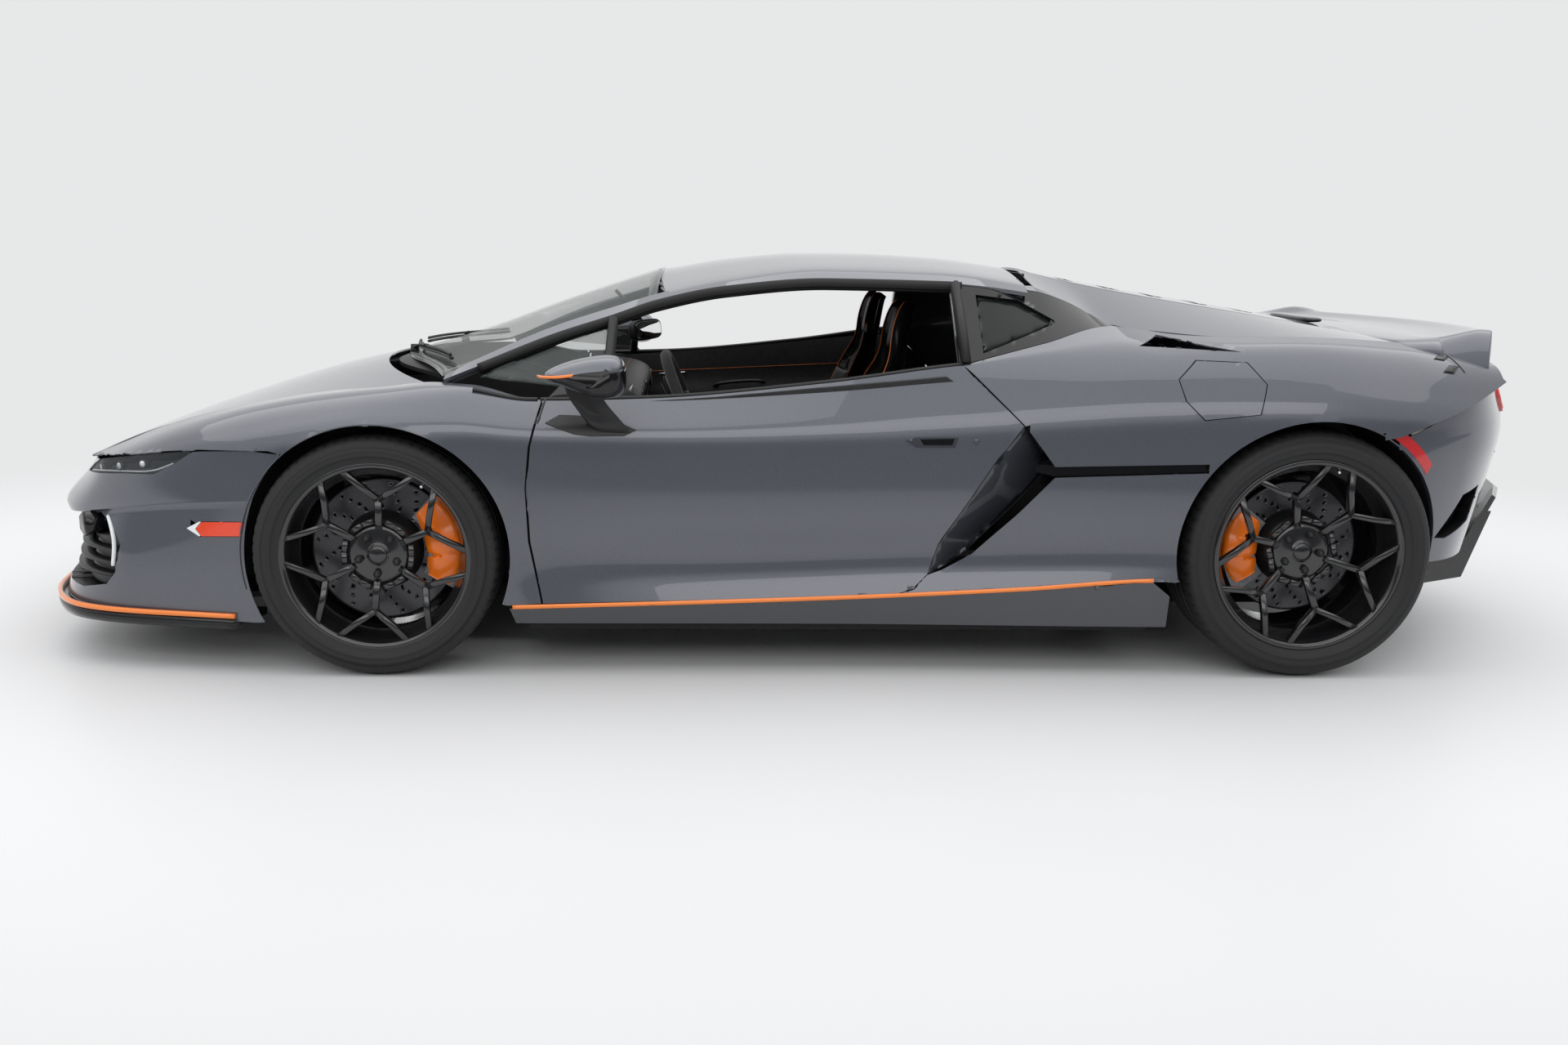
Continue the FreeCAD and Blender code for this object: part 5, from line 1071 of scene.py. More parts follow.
guide_parts, module_parts = [], []
for place, aim in (((-2.085, -.655, .545), (-.8, -.55, -.02)), ((-2.0, -.745, .565), (-.6, -.8, -.02)),
                   ((-1.915, -.8, .58), (-.45, -.9, -.02))):
    start = np.array(place)
    reach = np.array(aim) / np.linalg.norm(aim)
    module_parts.append(barrel(start, start + reach * .016, .0135))
    guide_parts.append(barrel(start + reach * .016, start + reach * .018, .009))
guide = [(-2.15, -.595, .526), (-2.085, -.69, .54), (-1.985, -.775, .552), (-1.89, -.83, .56),
         (-1.822, -.855, .588)]
guide_parts.append(carried(smooth_path(guide, 40), oval(.006, .006)))
both("lamp_modules", joined(*module_parts), gloss_black, "lamp_lens", depth=0)
MOUTH_STRIP = [(-2.031, -.805, .428), (-2.016, -.824, .395), (-2.008, -.832, .353), (-2.016, -.834, .29)]
guide_parts.append(carried(smooth_path(MOUTH_STRIP, 24), oval(.016, .012), up=(1, 0, 0)))
both("light_guides", joined(*guide_parts), pale_guide, "lamp_lens", depth=0)
hexagon = np.array([(math.cos(a), math.sin(a)) for a in np.radians(np.arange(0, 360, 60) + 30)])
HEX_PATH = [(-2.108, -.792, .402), (-2.094, -.779, .402), (-2.06, -.748, .402)]
both("day_lamp", carried(HEX_PATH, hexagon * (.034, .036)), gloss_black, "lamp_lens", depth=0)

MARKER_LENS = drawn(NOSE_VIEW, [
    (-1.736, .909, .3925), (-1.624, .934, .3975), (-1.614, .935, .4375), (-1.736, .909, .4325),
    (-1.752, .905, .413),
])
MARKER_BEZEL = drawn(NOSE_VIEW, [
    (-1.781, .9, .413), (-1.743, .908, .392), (-1.738, .909, .3925), (-1.755, .905, .413),
    (-1.738, .909, .433), (-1.743, .908, .4335),
])
for name, ring, lens_finish, pitches in (("front_marker", MARKER_LENS, orange_lens, (.01, .03)),
                                         ("marker_bezel", MARKER_BEZEL, pale_guide, (.008, .02))):
    marker_steps = (steps(4.8, 6.2, pitches[0]), steps(2, 5, pitches[1]))
    marker = lifted(*cut_panel(bumper, *marker_steps, ring, view=NOSE_VIEW), .001)
    both(name, marker, lens_finish, "lamp_lens", depth=0.004)

# Splitter
# A black moulded blade is screwed up under the nose.
# An orange stripe of film runs along its upper edge.
stripe_orange = scuffed(finish("stripe_orange", (.95, .235, .022), 0.3, coat=0.8), 8.0, 0.26, 0.36)
SPLITTER_PATH = [
    (-1.652, .938, .163), (-2.08, .868, .166), (-2.235, .72, .166), (-2.325, .45, .16), (-2.341, .0, .157),
]
half_path = smooth_path(SPLITTER_PATH, 70)
nose_path = np.concatenate([half_path, half_path[-2::-1] * (1, -1, 1)])
BLADE = [(0, -.006), (.0, -.02), (-.006, -.034), (-.2, -.038), (-.2, -.016), (-.012, -.002)]
blade = carried(nose_path, BLADE)
dressed("splitter_blade", *blade, gloss_black, "black_gloss", depth=0, replaces=("front_splitter",))
STRIPE_SECTION = [(.001, -.005), (.0015, .007), (-.01, .008), (-.012, -.005)]
blade_stripe = carried(nose_path + (0, 0, .004), STRIPE_SECTION)
dressed("splitter_stripe", *blade_stripe, stripe_orange, "paint", depth=0)

# Side skirts
# A dark moulding runs below each door between the wheels, screwed to the sill.
# An orange stripe of film lies along its top.
skirt_grey = grained(finish("skirt_grey", (.048, .05, .058), 0.3, coat=0.7), 500.0, 0.00003)
skirt = body_surface(("skirt_foot", "stripe"), (.5, .5))
SKIRT_OUTLINE = [
    (-.86, .12), (-.882, .199), (-.869, .199), (0, .226), (.567, .257), (.936, .287), (.945, .289),
    (1.0, .245), (1.0, .12),
]
shape = cut_panel(skirt, steps(-.884, 1.0, PANEL_STEP), steps(0, 1, .08), SKIRT_OUTLINE)
both("side_skirt", shape, skirt_grey, "black_gloss", replaces=("side_skirts",))
SKIRT_STRIPE = [(0.002, -.005), (.0025, .006), (-.006, .006), (-.006, -.005)]
stripe = carried(line_path("stripe", -.874, .948, 120, .0005, .0035), SKIRT_STRIPE)
both("skirt_stripe", stripe, stripe_orange, "paint", depth=0)

# Scoops
# Behind each door the quarter turns inward as a duct, pressed with the panel; its body paint is darkened as
# painted shade.
# A black moulded slot runs on to the wheel arch, and an upper intake opens beside the engine.
DUCT_OUTLINE = [
    (.303, .297), (.345, .312), (.427, .356), (.552, .477), (.653, .585), (.7, .59), (.7, .622), (.652, .616),
    (.5635, .73), (.522, .674), (.491, .637), (.336, .391),
]
duct_sheet = cut_panel(sunk(quarter, .002), steps(.29, .75, PANEL_STEP), steps(0, 4, PANEL_STEP * 6),
                       DUCT_OUTLINE)


def leaning(points):
    """The duct's floor falls inward: depth grows with the length behind the door's shut line."""
    edge = np.interp(points[:, 2], [.297, .391, .637, .674, .73], [.303, .336, .491, .522, .5635])
    depth = np.clip(points[:, 0] - edge, 0, None)
    return points + np.stack([0 * depth, .62 * depth, 0 * depth], axis=1)


# The duct, the handle recess and the lock take the body paint at half brightness: painted shade of the
# recesses.
paint_shadow = finish("paint_painted_shade", (.042, .045, .055), 0.35, metallic=0.3, coat=0.8)
speckle(paint_shadow, 900.0, (.036, .039, .048), (.05, .053, .065))
duct = tray(leaning(duct_sheet[0]), duct_sheet[1], .0, .004)
both("scoop", duct, paint_shadow, "paint", depth=0)
SLOT_OUTLINE = [(.6, .6), (.655, .586), (1.085, .604), (1.085, .632), (.65, .618), (.6, .62)]
shape = cut_panel(sunk(quarter, .016), steps(.59, 1.09, PANEL_STEP), steps(1.5, 3.2, .04), SLOT_OUTLINE)
both("side_slot", shape, gloss_black, "black_gloss", depth=0.003)
intake_ring = outset(WEDGE_INTAKE, .004)
shape = cut_panel(sunk(quarter, .035), steps(.88, 1.22, .009), steps(3.5, 5, .06), intake_ring)
both("upper_intake", shape, satin_black, "black_gloss", depth=0.003)

# Door mirrors
# Each mirror is a painted shell over a black lower half, both moulded and clipped together.
# It stands on a flat black stalk whose foot is bolted to the door.
def ring_loft(rings, around=32, along=24, soft=0.5):
    """A closed skin through rings of control places, blended round and along, its two ends capped."""
    rings = np.array(rings, dtype=float)
    wrapped = np.concatenate([rings[:, -1:], rings, rings[:, :2]], axis=1)
    u = np.linspace(0, len(rings) - 1, along)
    v = np.linspace(1, wrapped.shape[1] - 2, around, endpoint=False)
    weights_u = blend(u, [soft] * len(rings))
    weights_v = blend(v, [soft] * wrapped.shape[1])
    points = np.einsum("ai,bj,ijk->abk", weights_u, weights_v, wrapped)
    return points.reshape(-1, 3), tube(along, around, True)


def mirror_ring(y, x0, x1, z0, z1, squeeze=1.0):
    """Eight places round the housing at one distance from the car: pointed nose, flat back."""
    mid = z0 + (z1 - z0) * .5
    return [(x0, y, mid), (x0 + .06, y, mid + (z1 - mid) * .55 * squeeze), (x0 + .13, y, z1 - .008),
            (x1 - .02, y, z1), (x1, y, mid + .02), (x1 - .004, y, z0 + .006), (x1 - .08, y, z0),
            (x0 + .1, y, z0 + (mid - z0) * .35)]


MIRROR_STATIONS = [
    (-.958, -.7, -.58, .838, .88), (-.972, -.745, -.556, .812, .912), (-1.04, -.786, -.545, .803, .928),
    (-1.1, -.775, -.552, .815, .915), (-1.12, -.72, -.585, .835, .892),
]
points, faces = ring_loft([mirror_ring(*station) for station in MIRROR_STATIONS], 48, 36)
level = np.array([points[list(face)].mean(axis=0) for face in faces])
upper = level[:, 2] > .862 + (level[:, 0] + .788) * .1
cap = (points, [face for face, above in zip(faces, upper) if above])
under = (points, [face for face, above in zip(faces, upper) if not above])
both("mirror_cap", cap, paint, "paint", "door_{}", depth=0.0015, rim=0, replaces=("mirror_{}",))
both("mirror_under", under, gloss_black, "black_gloss", "door_{}", depth=0.0015, rim=0)
a = np.linspace(0, 1, 40)
rim_out = -1.04 - .0855 * np.sin(math.pi * np.clip(a * 1.25, 0, 1) ** .8)
rim_path = np.stack([-.7865 + .235 * a, rim_out, .8625 + .0235 * a], axis=1)
line = carried(rim_path, [(.001, -.003), (.001, .004), (-.006, .004), (-.006, -.003)])
both("mirror_stripe", line, stripe_orange, "paint", "door_{}", depth=0)
STALK_RINGS = [
    [(-.735, -.945, .843), (-.7, -.945, .85), (-.64, -.945, .846), (-.64, -.945, .832), (-.7, -.945, .828)],
    [(-.72, -.955, .8), (-.69, -.955, .806), (-.61, -.955, .788), (-.605, -.955, .775), (-.69, -.955, .78)],
    [(-.68, -.948, .745), (-.65, -.948, .75), (-.56, -.948, .73), (-.555, -.948, .716), (-.65, -.948, .722)],
    [(-.66, -.925, .715), (-.63, -.925, .72), (-.545, -.925, .702), (-.54, -.925, .692), (-.64, -.925, .696)],
]
stalk_rings = [[(x, y - (.012 if x > -.66 else -.012), z) for x, y, z in ring] for ring in STALK_RINGS]
both("mirror_stalk", ring_loft(stalk_rings, 28, 24, .35), satin_black, "black_gloss", "door_{}", depth=0)
FOOT_OUTLINE = [
    (-.778, .722), (-.738, .742), (-.61, .738), (-.527, .706), (-.56, .69), (-.655, .688), (-.7, .694),
]
foot = lifted(*cut_panel(side, steps(-.79, -.51, .007), steps(2.4, 4, .05), FOOT_OUTLINE), .003)
both("mirror_foot", foot, satin_black, "black_gloss", "door_{}", depth=0.004)

# Tyres
# Low radial tyres of black rubber, moulded with four grooves round the tread and cross cuts in the shoulders.
# They are pressed onto the rims; the walls carry no lettering.
def lathe(profile, count=96, axle=(0, 0, 0), swell=None):
    """A profile of radius and cross place turned about the cross axis; swell may change radii by angle."""
    profile = np.asarray(profile, dtype=float)
    a = turns(count)
    radius = np.tile(profile[:, 0], (count, 1))
    cross = np.tile(profile[:, 1], (count, 1))
    if swell is not None:
        radius = radius + swell(a[:, None], cross, radius)
    points = np.stack([axle[0] + radius * np.cos(a)[:, None], axle[1] + cross,
                       axle[2] + radius * np.sin(a)[:, None]], axis=-1)
    return points.reshape(-1, 3), lattice(count, len(profile), 1, 0, True).tolist()


rubber = grained(finish("tyre_rubber", (.02, .02, .021), 0.62, specular=0.4), 1400.0, 0.00008)
FRONT_WHEEL = (.84, FRONT_AXLE[1], .255, .271, .052, .205, 86.5)
REAR_WHEEL = (.81, REAR_AXLE[1], .325, .284, .072, .195, 104.0)
WHEELS = {
    end + "_" + hand: (axle, way * sizes[0], *sizes[1:])
    for end, axle, sizes in (("front", FRONT_AXLE, FRONT_WHEEL), ("rear", REAR_AXLE, REAR_WHEEL))
    for hand, way in (("left", -1), ("right", 1))
}


def tyre_profile(radius, width, rim):
    """Half a tyre section from the tread's middle to the bead, with grooves cut into the tread."""
    half = width / 2
    wall = radius - rim
    tread = [(radius, 0.0)]
    for middle in (.16, .46):
        left, right = (middle - .045) * half, (middle + .045) * half
        crown = radius - .004 * middle ** 2
        tread += [
            (crown, left - .001), (crown - .0065, left + .001), (crown - .0065, right - .001),
            (crown, right + .001),
        ]
    tread += [(radius - .0015, .62 * half), (radius - .003, .72 * half), (radius - .006, .82 * half),
              (radius - .011, .9 * half), (radius - .02, .955 * half)]
    side_wall = [
        (radius - .03, .978 * half), (radius - .0305, .985 * half), (radius - .034, .987 * half),
        (radius - .42 * wall, 1.0 * half), (radius - .58 * wall, .997 * half),
        (radius - .7 * wall, .978 * half), (radius - .715 * wall, .985 * half),
        (radius - .77 * wall, .975 * half), (radius - .79 * wall, .955 * half), (rim + .012, .93 * half),
        (rim + .002, .905 * half), (rim - .006, .88 * half),
    ]
    return np.array(tread + side_wall)


def tread_cuts(half, radius):
    """Cross cuts: the shoulders drop 4.5 mm for a sixth of each pitch, slanted with the width."""
    def swell(angle, cross, radii):
        share = np.abs(cross) / half
        phase = (angle * 70 / (2 * math.pi) + np.sign(cross) * share * .9) % 1.0
        cut = (phase < .16) & (share > .52) & (share < .97) & (radii > radius - .022)
        return np.where(cut, -.0045, 0.0)

    return swell


for place, (axle, middle, radius, width, rim, dish, disc, phase) in WHEELS.items():
    half_section = tyre_profile(radius, width, rim - .002)
    section = np.concatenate([half_section[::-1] * (1, -1), half_section[1:]])
    points, faces = lathe(section, 350, (axle[0], middle, axle[1]), tread_cuts(width / 2, radius))
    dressed("tyre_skin_" + place, points, faces, rubber, "tyre_rubber", "wheel_" + place, depth=0,
            replaces=("tyre_" + place,))

# Wheels
# Gloss black forged wheels with six Y-shaped spokes stand off a stepped rim, and five bolts ring a plain cap.
# Drilled steel discs turn with them on black bells.
wheel_black = scuffed(finish("wheel_black", (.01, .01, .011), 0.2, coat=0.8), 12.0, 0.16, 0.26)
disc_steel = grained(finish("disc_steel", (.075, .075, .08), 0.3, metallic=0.9), 260.0, 0.0001)
valve_steel = scuffed(finish("valve_steel", (.62, .62, .64), 0.25, metallic=1.0), 90.0, 0.2, 0.32)


def spoke_path(places, middle, out, axle):
    """Spoke points given as angle, radius and depth behind the rim face, in the wheel's place."""
    places = np.array(places, dtype=float)
    a = np.radians(places[:, 0])
    return np.stack([axle[0] + places[:, 1] * np.cos(a), middle + out * (-places[:, 2]) + 0 * a,
                     axle[1] + places[:, 1] * np.sin(a)], axis=1)


SPOKE = [(-.0085, -.0015), (-.0065, 0), (.0065, 0), (.0085, -.0015), (.0065, -.024), (.003, -.032),
         (-.003, -.032), (-.0065, -.024)]
for place, (axle, middle, radius, width, rim, dish, disc, phase) in WHEELS.items():
    out = -1.0 if middle < 0 else 1.0
    face = middle + out * (width / 2 - .014)
    lip = rim - .004
    wide = width - .03
    centre_place = (axle[0], face, axle[1])
    hub_front = dish - .016
    joint_radius = rim * .6

    def spun(section, count):
        """A section of radius and depth behind the rim's face, turned about the axle."""
        return lathe([(r, -out * d) for r, d in section], count, centre_place)

    parts = [spun([
        (lip - .003, 0), (lip, .0015), (lip, .006), (lip - .002, .009), (lip - .01, .01), (lip - .013, .02),
        (lip - .016, .045), (lip - .03, .062), (lip - .032, wide - .03), (lip - .012, wide - .016),
        (lip, wide - .01), (lip, wide), (lip - .006, wide), (lip - .04, wide - .02), (lip - .04, .06),
        (lip - .024, .038), (lip - .021, .014), (lip - .016, .004), (lip - .01, 0), (lip - .003, 0),
    ], 160)]
    for fork in range(6):
        turn = phase + fork * 60
        stem = [(turn, .07, hub_front + .004), (turn, .098, hub_front - .004), (turn, joint_radius, .017)]
        runs = [(stem, (1.15, 1.0))]
        for lean in (-22.5, 22.5):
            arm = [(turn, joint_radius - .002, .017), (turn + lean * .62, joint_radius * 1.24, .011),
                   (turn + lean, lip - .01, .003)]
            web = [(turn + lean * .35, joint_radius * .6, hub_front + .002),
                   (turn + math.copysign(30, lean), .094, hub_front)]
            runs += [(arm, (1, 1)), (web, (.9, .6))]
        for run, scale in runs:
            parts.append(carried(spoke_path(run, face, out, axle), np.array(SPOKE) * scale, up=(0, out, 0)))
    parts.append(spun([
        (.0005, hub_front + .002), (.022, hub_front + .002), (.0285, hub_front + .004),
        (.03, hub_front + .006),
        (.034, hub_front + .008), (.07, hub_front + .006), (.082, hub_front + .008), (.086, hub_front + .016),
        (.086, dish + .03), (.034, dish + .03),
    ], 72))
    cap = [(.0005, hub_front - .004), (.018, hub_front - .003), (.024, hub_front - .0005),
           (.0265, hub_front + .004)]
    parts.append(spun(cap, 48))
    wheel = "wheel_" + place
    dressed("rim_" + place, *joined(*parts), wheel_black, "wheel_black", wheel, depth=0, replaces=(wheel,))
    bolts = []
    for a in np.radians(phase + 36 + 72 * np.arange(5)):
        start = np.array((axle[0] + .056 * math.cos(a), face - out * (hub_front + .008),
                          axle[1] + .056 * math.sin(a)))
        middle_place, tip = start + (0, out * .01, 0), start + (0, out * .013, 0)
        bolts += [barrel(start, middle_place, .0125, 6, .92), barrel(middle_place, tip, .0085, 24, .7)]
    dressed("wheel_bolts_" + place, *joined(*bolts), satin_black, "wheel_black", wheel, depth=0)
    a = math.radians(phase - 30)
    stem_foot = np.array((axle[0] + (lip - .02) * math.cos(a), face - out * .03,
                          axle[1] + (lip - .02) * math.sin(a)))
    valve = barrel(stem_foot, stem_foot + (-.01 * math.cos(a), out * .022, -.01 * math.sin(a)), .0042, 16)
    dressed("valve_" + place, *valve, valve_steel, "wheel_black", wheel, depth=0)
    disc_face = face - out * (dish + .088 - .017)
    inner_radius = .105

    def disc_sheet(u, v, axle=axle, disc_face=disc_face):
        """The disc's seen face in polar steps: angle u and radius v."""
        return np.stack([axle[0] + v * np.cos(u), disc_face + 0 * u, axle[1] + v * np.sin(u)], axis=1)

    holes = [circle(*axle, inner_radius, 90)]
    for number in range(16):
        for step in range(4):
            a = math.radians(number * 22.5 + step * 5.0)
            r = inner_radius + .018 + step * (disc - inner_radius - .034) / 3
            holes.append(circle(axle[0] + r * math.cos(a), axle[1] + r * math.sin(a), .0045, 8))
    disc_steps = (np.linspace(0, 2 * math.pi, 230), steps(inner_radius - .004, disc + .004, .0056))
    shape = cut_panel(disc_sheet, *disc_steps, circle(*axle, disc, 180), holes)
    shape = flipped(*shape) if out < 0 else shape
    dressed("disc_" + place, *shape, disc_steel, "cast_metal", wheel, depth=0.034, rim=0)
    bell = [(inner_radius + .006, dish + .074), (inner_radius, dish + .06), (inner_radius - .012, dish + .04),
            (.086, dish + .03), (.034, dish + .03)]
    dressed("disc_bell_" + place, *spun(bell, 72), satin_black, "wheel_black", wheel, depth=0.004, rim=0)

# Calipers
# Six-piston cast calipers, painted orange, clasp the discs behind the front axle and ahead of the rear one.
# Each is bolted to its upright and bridged by three bolts.
caliper_orange = scuffed(finish("caliper_orange", (1.0, .2, .008), 0.3, coat=0.5), 20.0, 0.24, 0.36)


def caliper(axle, disc_middle, out, disc, angle, spread):
    """A cast body swept round part of the disc, its outer face swelling over three pistons."""
    def point(u, v):
        ring = np.array([(.15, .02), (.205, .02), (.228, .028), (.231, .048), (.222, .062), (.19, .07),
                         (.15, .068), (.128, .055), (.124, .036), (.132, .022)]) + (disc - .205, 0)
        wrapped = np.concatenate([ring[-1:], ring, ring[:2]])
        weights = blend(v + 1, [.35] * len(wrapped))
        r, d = (weights @ wrapped).T
        taper = 1 - .22 * np.abs(u) ** 3
        swell = .007 * np.clip(np.cos(u * math.pi * 1.5 * 1.05), 0, 1) * (d > .05)
        notch = .018 * np.exp(-((np.abs(u) - .38) / .05) ** 2) * (r < disc - .04)
        a = math.radians(angle) + math.radians(spread) * u
        r = (disc - .028) + (r - disc + .028) * taper + notch
        out_place = disc_middle + out * (d + swell) * taper ** .5
        return np.stack([axle[0] + r * np.cos(a), out_place, axle[1] + r * np.sin(a)], axis=1)

    rows, columns = 60, 44
    points, faces = grid_sheet(point, np.linspace(-1, 1, rows), np.linspace(0, 10, columns))
    faces += [tuple(range(columns - 1))[::-1], tuple(range((rows - 1) * columns, rows * columns - 1))]
    return (points, faces) if out > 0 else flipped(points, faces)


for place, (axle, middle, radius, width, rim, dish, disc, phase) in WHEELS.items():
    out = -1.0 if middle < 0 else 1.0
    disc_middle = middle + out * (width / 2 - .014 - dish - .088)
    front = place.startswith("front")
    middle_angle, spread = (10, 37) if front else (178, 33)
    body = "steer_" + place if front else "body"
    clasp = caliper(axle, disc_middle, out, disc, middle_angle, spread)
    dressed("caliper_" + place, *clasp, caliper_orange, "caliper_paint", body, depth=0)
    bridge = []
    for a in np.radians(middle_angle + np.array([-20, 0, 20])):
        reach = disc + .012
        start = np.array((axle[0] + reach * math.cos(a), disc_middle - out * .055,
                          axle[1] + reach * math.sin(a)))
        bridge.append(barrel(start, start + (0, out * .11, 0), .008, 16))
    dressed("caliper_bolts_" + place, *joined(*bridge), satin_black, "cast_metal", body, depth=0)

# Tail lamps and rear trim
# Two hexagonal red lamps, a black mesh across the tail, side outlets and a red marker behind each rear wheel.
# A slim brake lamp lies across the deck, and three slots end the seam of the ducktail.
REAR_STEPS = (steps(1, 6, .025), steps(0, 3, .05))


def tail_part(ring, view=TAIL_VIEW, step_u=REAR_STEPS[0], step_v=REAR_STEPS[1]):
    """The piece of the tail's surface inside an outline, its faces outward."""
    return flipped(*cut_panel(tail, step_u, step_v, ring, view=view))


lens_shape = lifted(*tail_part(LAMP_CUT, step_u=steps(2, 3.2, .02), step_v=steps(2, 3, .04)), .007)
surround = tail_part(outset(LAMP_CUT, .006), step_u=steps(2, 3.2, .02), step_v=steps(1.8, 3, .04))
guide_path = smooth_path(tail(*np.array(LAMP_UV).T), 60, .25, closed=True)
guide_path = guide_path + (guide_path.mean(axis=0) - guide_path) * .16 + (.008, -.003, 0)
rear_mesh = []
for slope in (-.16, .16):
    for foot_u in np.arange(1.0, 2.95, .085):
        run_v = np.linspace(1.34, 2.22, 7)
        run_u = foot_u + slope * (run_v - 1.78)
        if run_u.min() > .98 and run_u.max() < 2.93:
            rear_mesh.append(carried(sunk(tail, -.022)(run_u, run_v), oval(.005, .005, 5), up=(1, 0, 0)))
grille_tray = tray(*tail_part(GRILLE_CUT), .002, 0, (-.055, 0, 0))
outlet_tray = tray(*tail_part(OUTLET_CUT), .002, 0, (-.022, .04, 0))
marker_angles = np.radians(steps(60, 36, 2))
marker_arc = np.stack([np.cos(marker_angles), np.sin(marker_angles)], axis=1)
inner_arc, outer_arc = marker_arc * .404 + REAR_AXLE, marker_arc[2:-1] * .434 + REAR_AXLE
rear_marker = tail_part(np.concatenate([inner_arc, outer_arc[::-1]]), SIDE_VIEW, steps(4.4, 6, .02),
                        steps(1, 2.8, .03))
rear_marker = lifted(*rear_marker, .0015)


def tail_slot(x, t):
    """A slot on the quarter: a small leaning sheet 2 mm proud of the paint."""
    def point(u, v):
        return sunk(quarter, -.002)(x + .018 * u + .014 * v, t + .11 * v)

    return grid_sheet(point, steps(-1, 1, .5), steps(-1, 1, .5))


slots = joined(tail_slot(1.79, 4.72), tail_slot(1.8, 4.28), tail_slot(1.815, 3.93))
seam_lengths = np.interp(np.linspace(0, 1, 24), [0, .5, 1], [1.812, 1.832, 1.86])
seam = carried(sunk(quarter, -.0005)(seam_lengths, np.linspace(4.95, 3.9, 24)), oval(.003, .003, 6))
lamp_guide = carried(guide_path, oval(.007, .007), (1, 0, 0), True)
both("tail_lamp_lens", lens_shape, red_lens, "red_lens", depth=0.01, replaces=("tail_lamps",))
both("tail_lamp_surround", tray(*surround, .001, .03), gloss_black, "black_gloss", depth=0)
both("tail_lamp_guide", lamp_guide, orange_lens, "red_lens", depth=0)
both("tail_grille_tray", grille_tray, satin_black, "black_gloss", depth=0)
both("tail_grille_mesh", joined(*rear_mesh), gloss_black, "black_gloss", depth=0)
both("tail_outlet", outlet_tray, satin_black, "black_gloss", depth=0)
both("rear_marker", rear_marker, red_lens, "red_lens", depth=0.004)
both("ducktail_slots", slots, gloss_black, "black_gloss", depth=0.002, rim=0)
both("ducktail_seam", seam, satin_black, "black_gloss", depth=0)


def bar_skin(centre, half_long, half_deep, half_high):
    """A closed bar across the car: its section is a superellipse of the power 3 that closes at both ends."""
    def point(u, v):
        a = v * math.pi
        end = np.clip(1 - np.abs(u) ** 6, 0, 1) ** .5
        cos, sin = np.cos(a), np.sin(a)
        return np.stack([centre[0] + half_deep * np.sign(cos) * np.abs(cos) ** .67 * end,
                         centre[1] + half_long * u, centre[2] + half_high * np.sign(sin) * np.abs(sin) ** .67
                         * end], axis=1)

    return grid_sheet(point, np.linspace(-1, 1, 41), np.linspace(-1, 1, 25))


dressed("high_brake_lamp", *bar_skin((1.69, 0, .997), .19, .034, .01), gloss_black, "black_gloss", depth=0)
dressed("high_brake_lens", *bar_skin((1.712, 0, .998), .165, .015, .006), red_lens, "red_lens", depth=0)

# Cowl and wipers
# A black moulded cowl is clipped in at the foot of the screen.
# Two wipers with rubber blades are parked on it, each bolted to its pivot.
cowl_finish = grained(finish("cowl_plastic", (.014, .014, .015), 0.48), 520.0, 0.00012, "Voronoi")
WIPERS = [((.55, .34), (2.95, .13), (-1.292, -.1, .853)), ((3.35, .14), (5.55, .34), (-1.21, .42, .848))]
wiper_parts = []
for first, last, pivot in WIPERS:
    run = np.linspace(0, 1, 30)
    rubber_path = screen(*[start + (end - start) * run for start, end in zip(first, last)]) + (0, 0, .012)
    wiper_parts.append(carried(rubber_path, oval(.014, .01, 8)))
    wiper_parts.append(carried(rubber_path + (-.002, 0, .007), [(-.004, 0), (.004, 0), (.0015, .008),
                                                                (-.0015, .008)]))
    middle = rubber_path[15] + (0, 0, .012)
    pivot = np.array(pivot)
    bend = (pivot + middle) / 2 + (0, 0, .012)
    wiper_parts.append(carried(smooth_path([pivot + (0, 0, .01), bend, middle], 20), oval(.018, .009, 8)))
    wiper_parts.append(barrel(pivot - (0, 0, .012), pivot + (0, 0, .02), .016, 20, .8))
dressed("wipers", *joined(*wiper_parts), cowl_finish, "black_trim", depth=0)

# Cabin lining
# The roof and the pillars are lined with shells in black suede cloth, clipped to the frame.
# The doors are lined in black hide with orange stitching, a pull and a metal release.
suede = finish("black_suede", (.02, .02, .021), 0.85, sheen=0.35)
speckle(suede, 700.0, (.015, .015, .016), (.026, .026, .028), detail=2.0)
grained(suede, 1600.0, 0.0001)
hide = finish("black_hide", (.017, .017, .018), 0.46, specular=0.45)
speckle(hide, 60.0, (.014, .014, .015), (.021, .021, .022))
grained(hide, 620.0, 0.0003, "Voronoi")
thread = grained(finish("orange_thread", (.62, .16, .03), 0.6), 2200.0, 0.0002)

LINER_OUTLINE = [(-.44, -.645), (.6, -.68), (.625, 0), (.6, .68), (-.44, .645), (-.47, 0)]
shape = cut_panel(sunk(roof, .0165), steps(-.48, .65, .03), steps(.02, 3.98, .11), LINER_OUTLINE,
                  view=PLAN_VIEW)
dressed("headliner", *shape, suede, "cabin_trim", depth=0.005, rim=0)
pillar_sheet = grid_sheet(sunk(pillar, .0155), steps(-1.06, -.45, .02), steps(.02, .98, .16))
both("pillar_lining", pillar_sheet, suede, "cabin_trim", depth=0.006, rim=0)
post_sheet = grid_sheet(sunk(post, .018), steps(.386, .62, .02), steps(.0, .98, .14))
both("post_lining", post_sheet, suede, "cabin_trim", depth=0.006, rim=0)


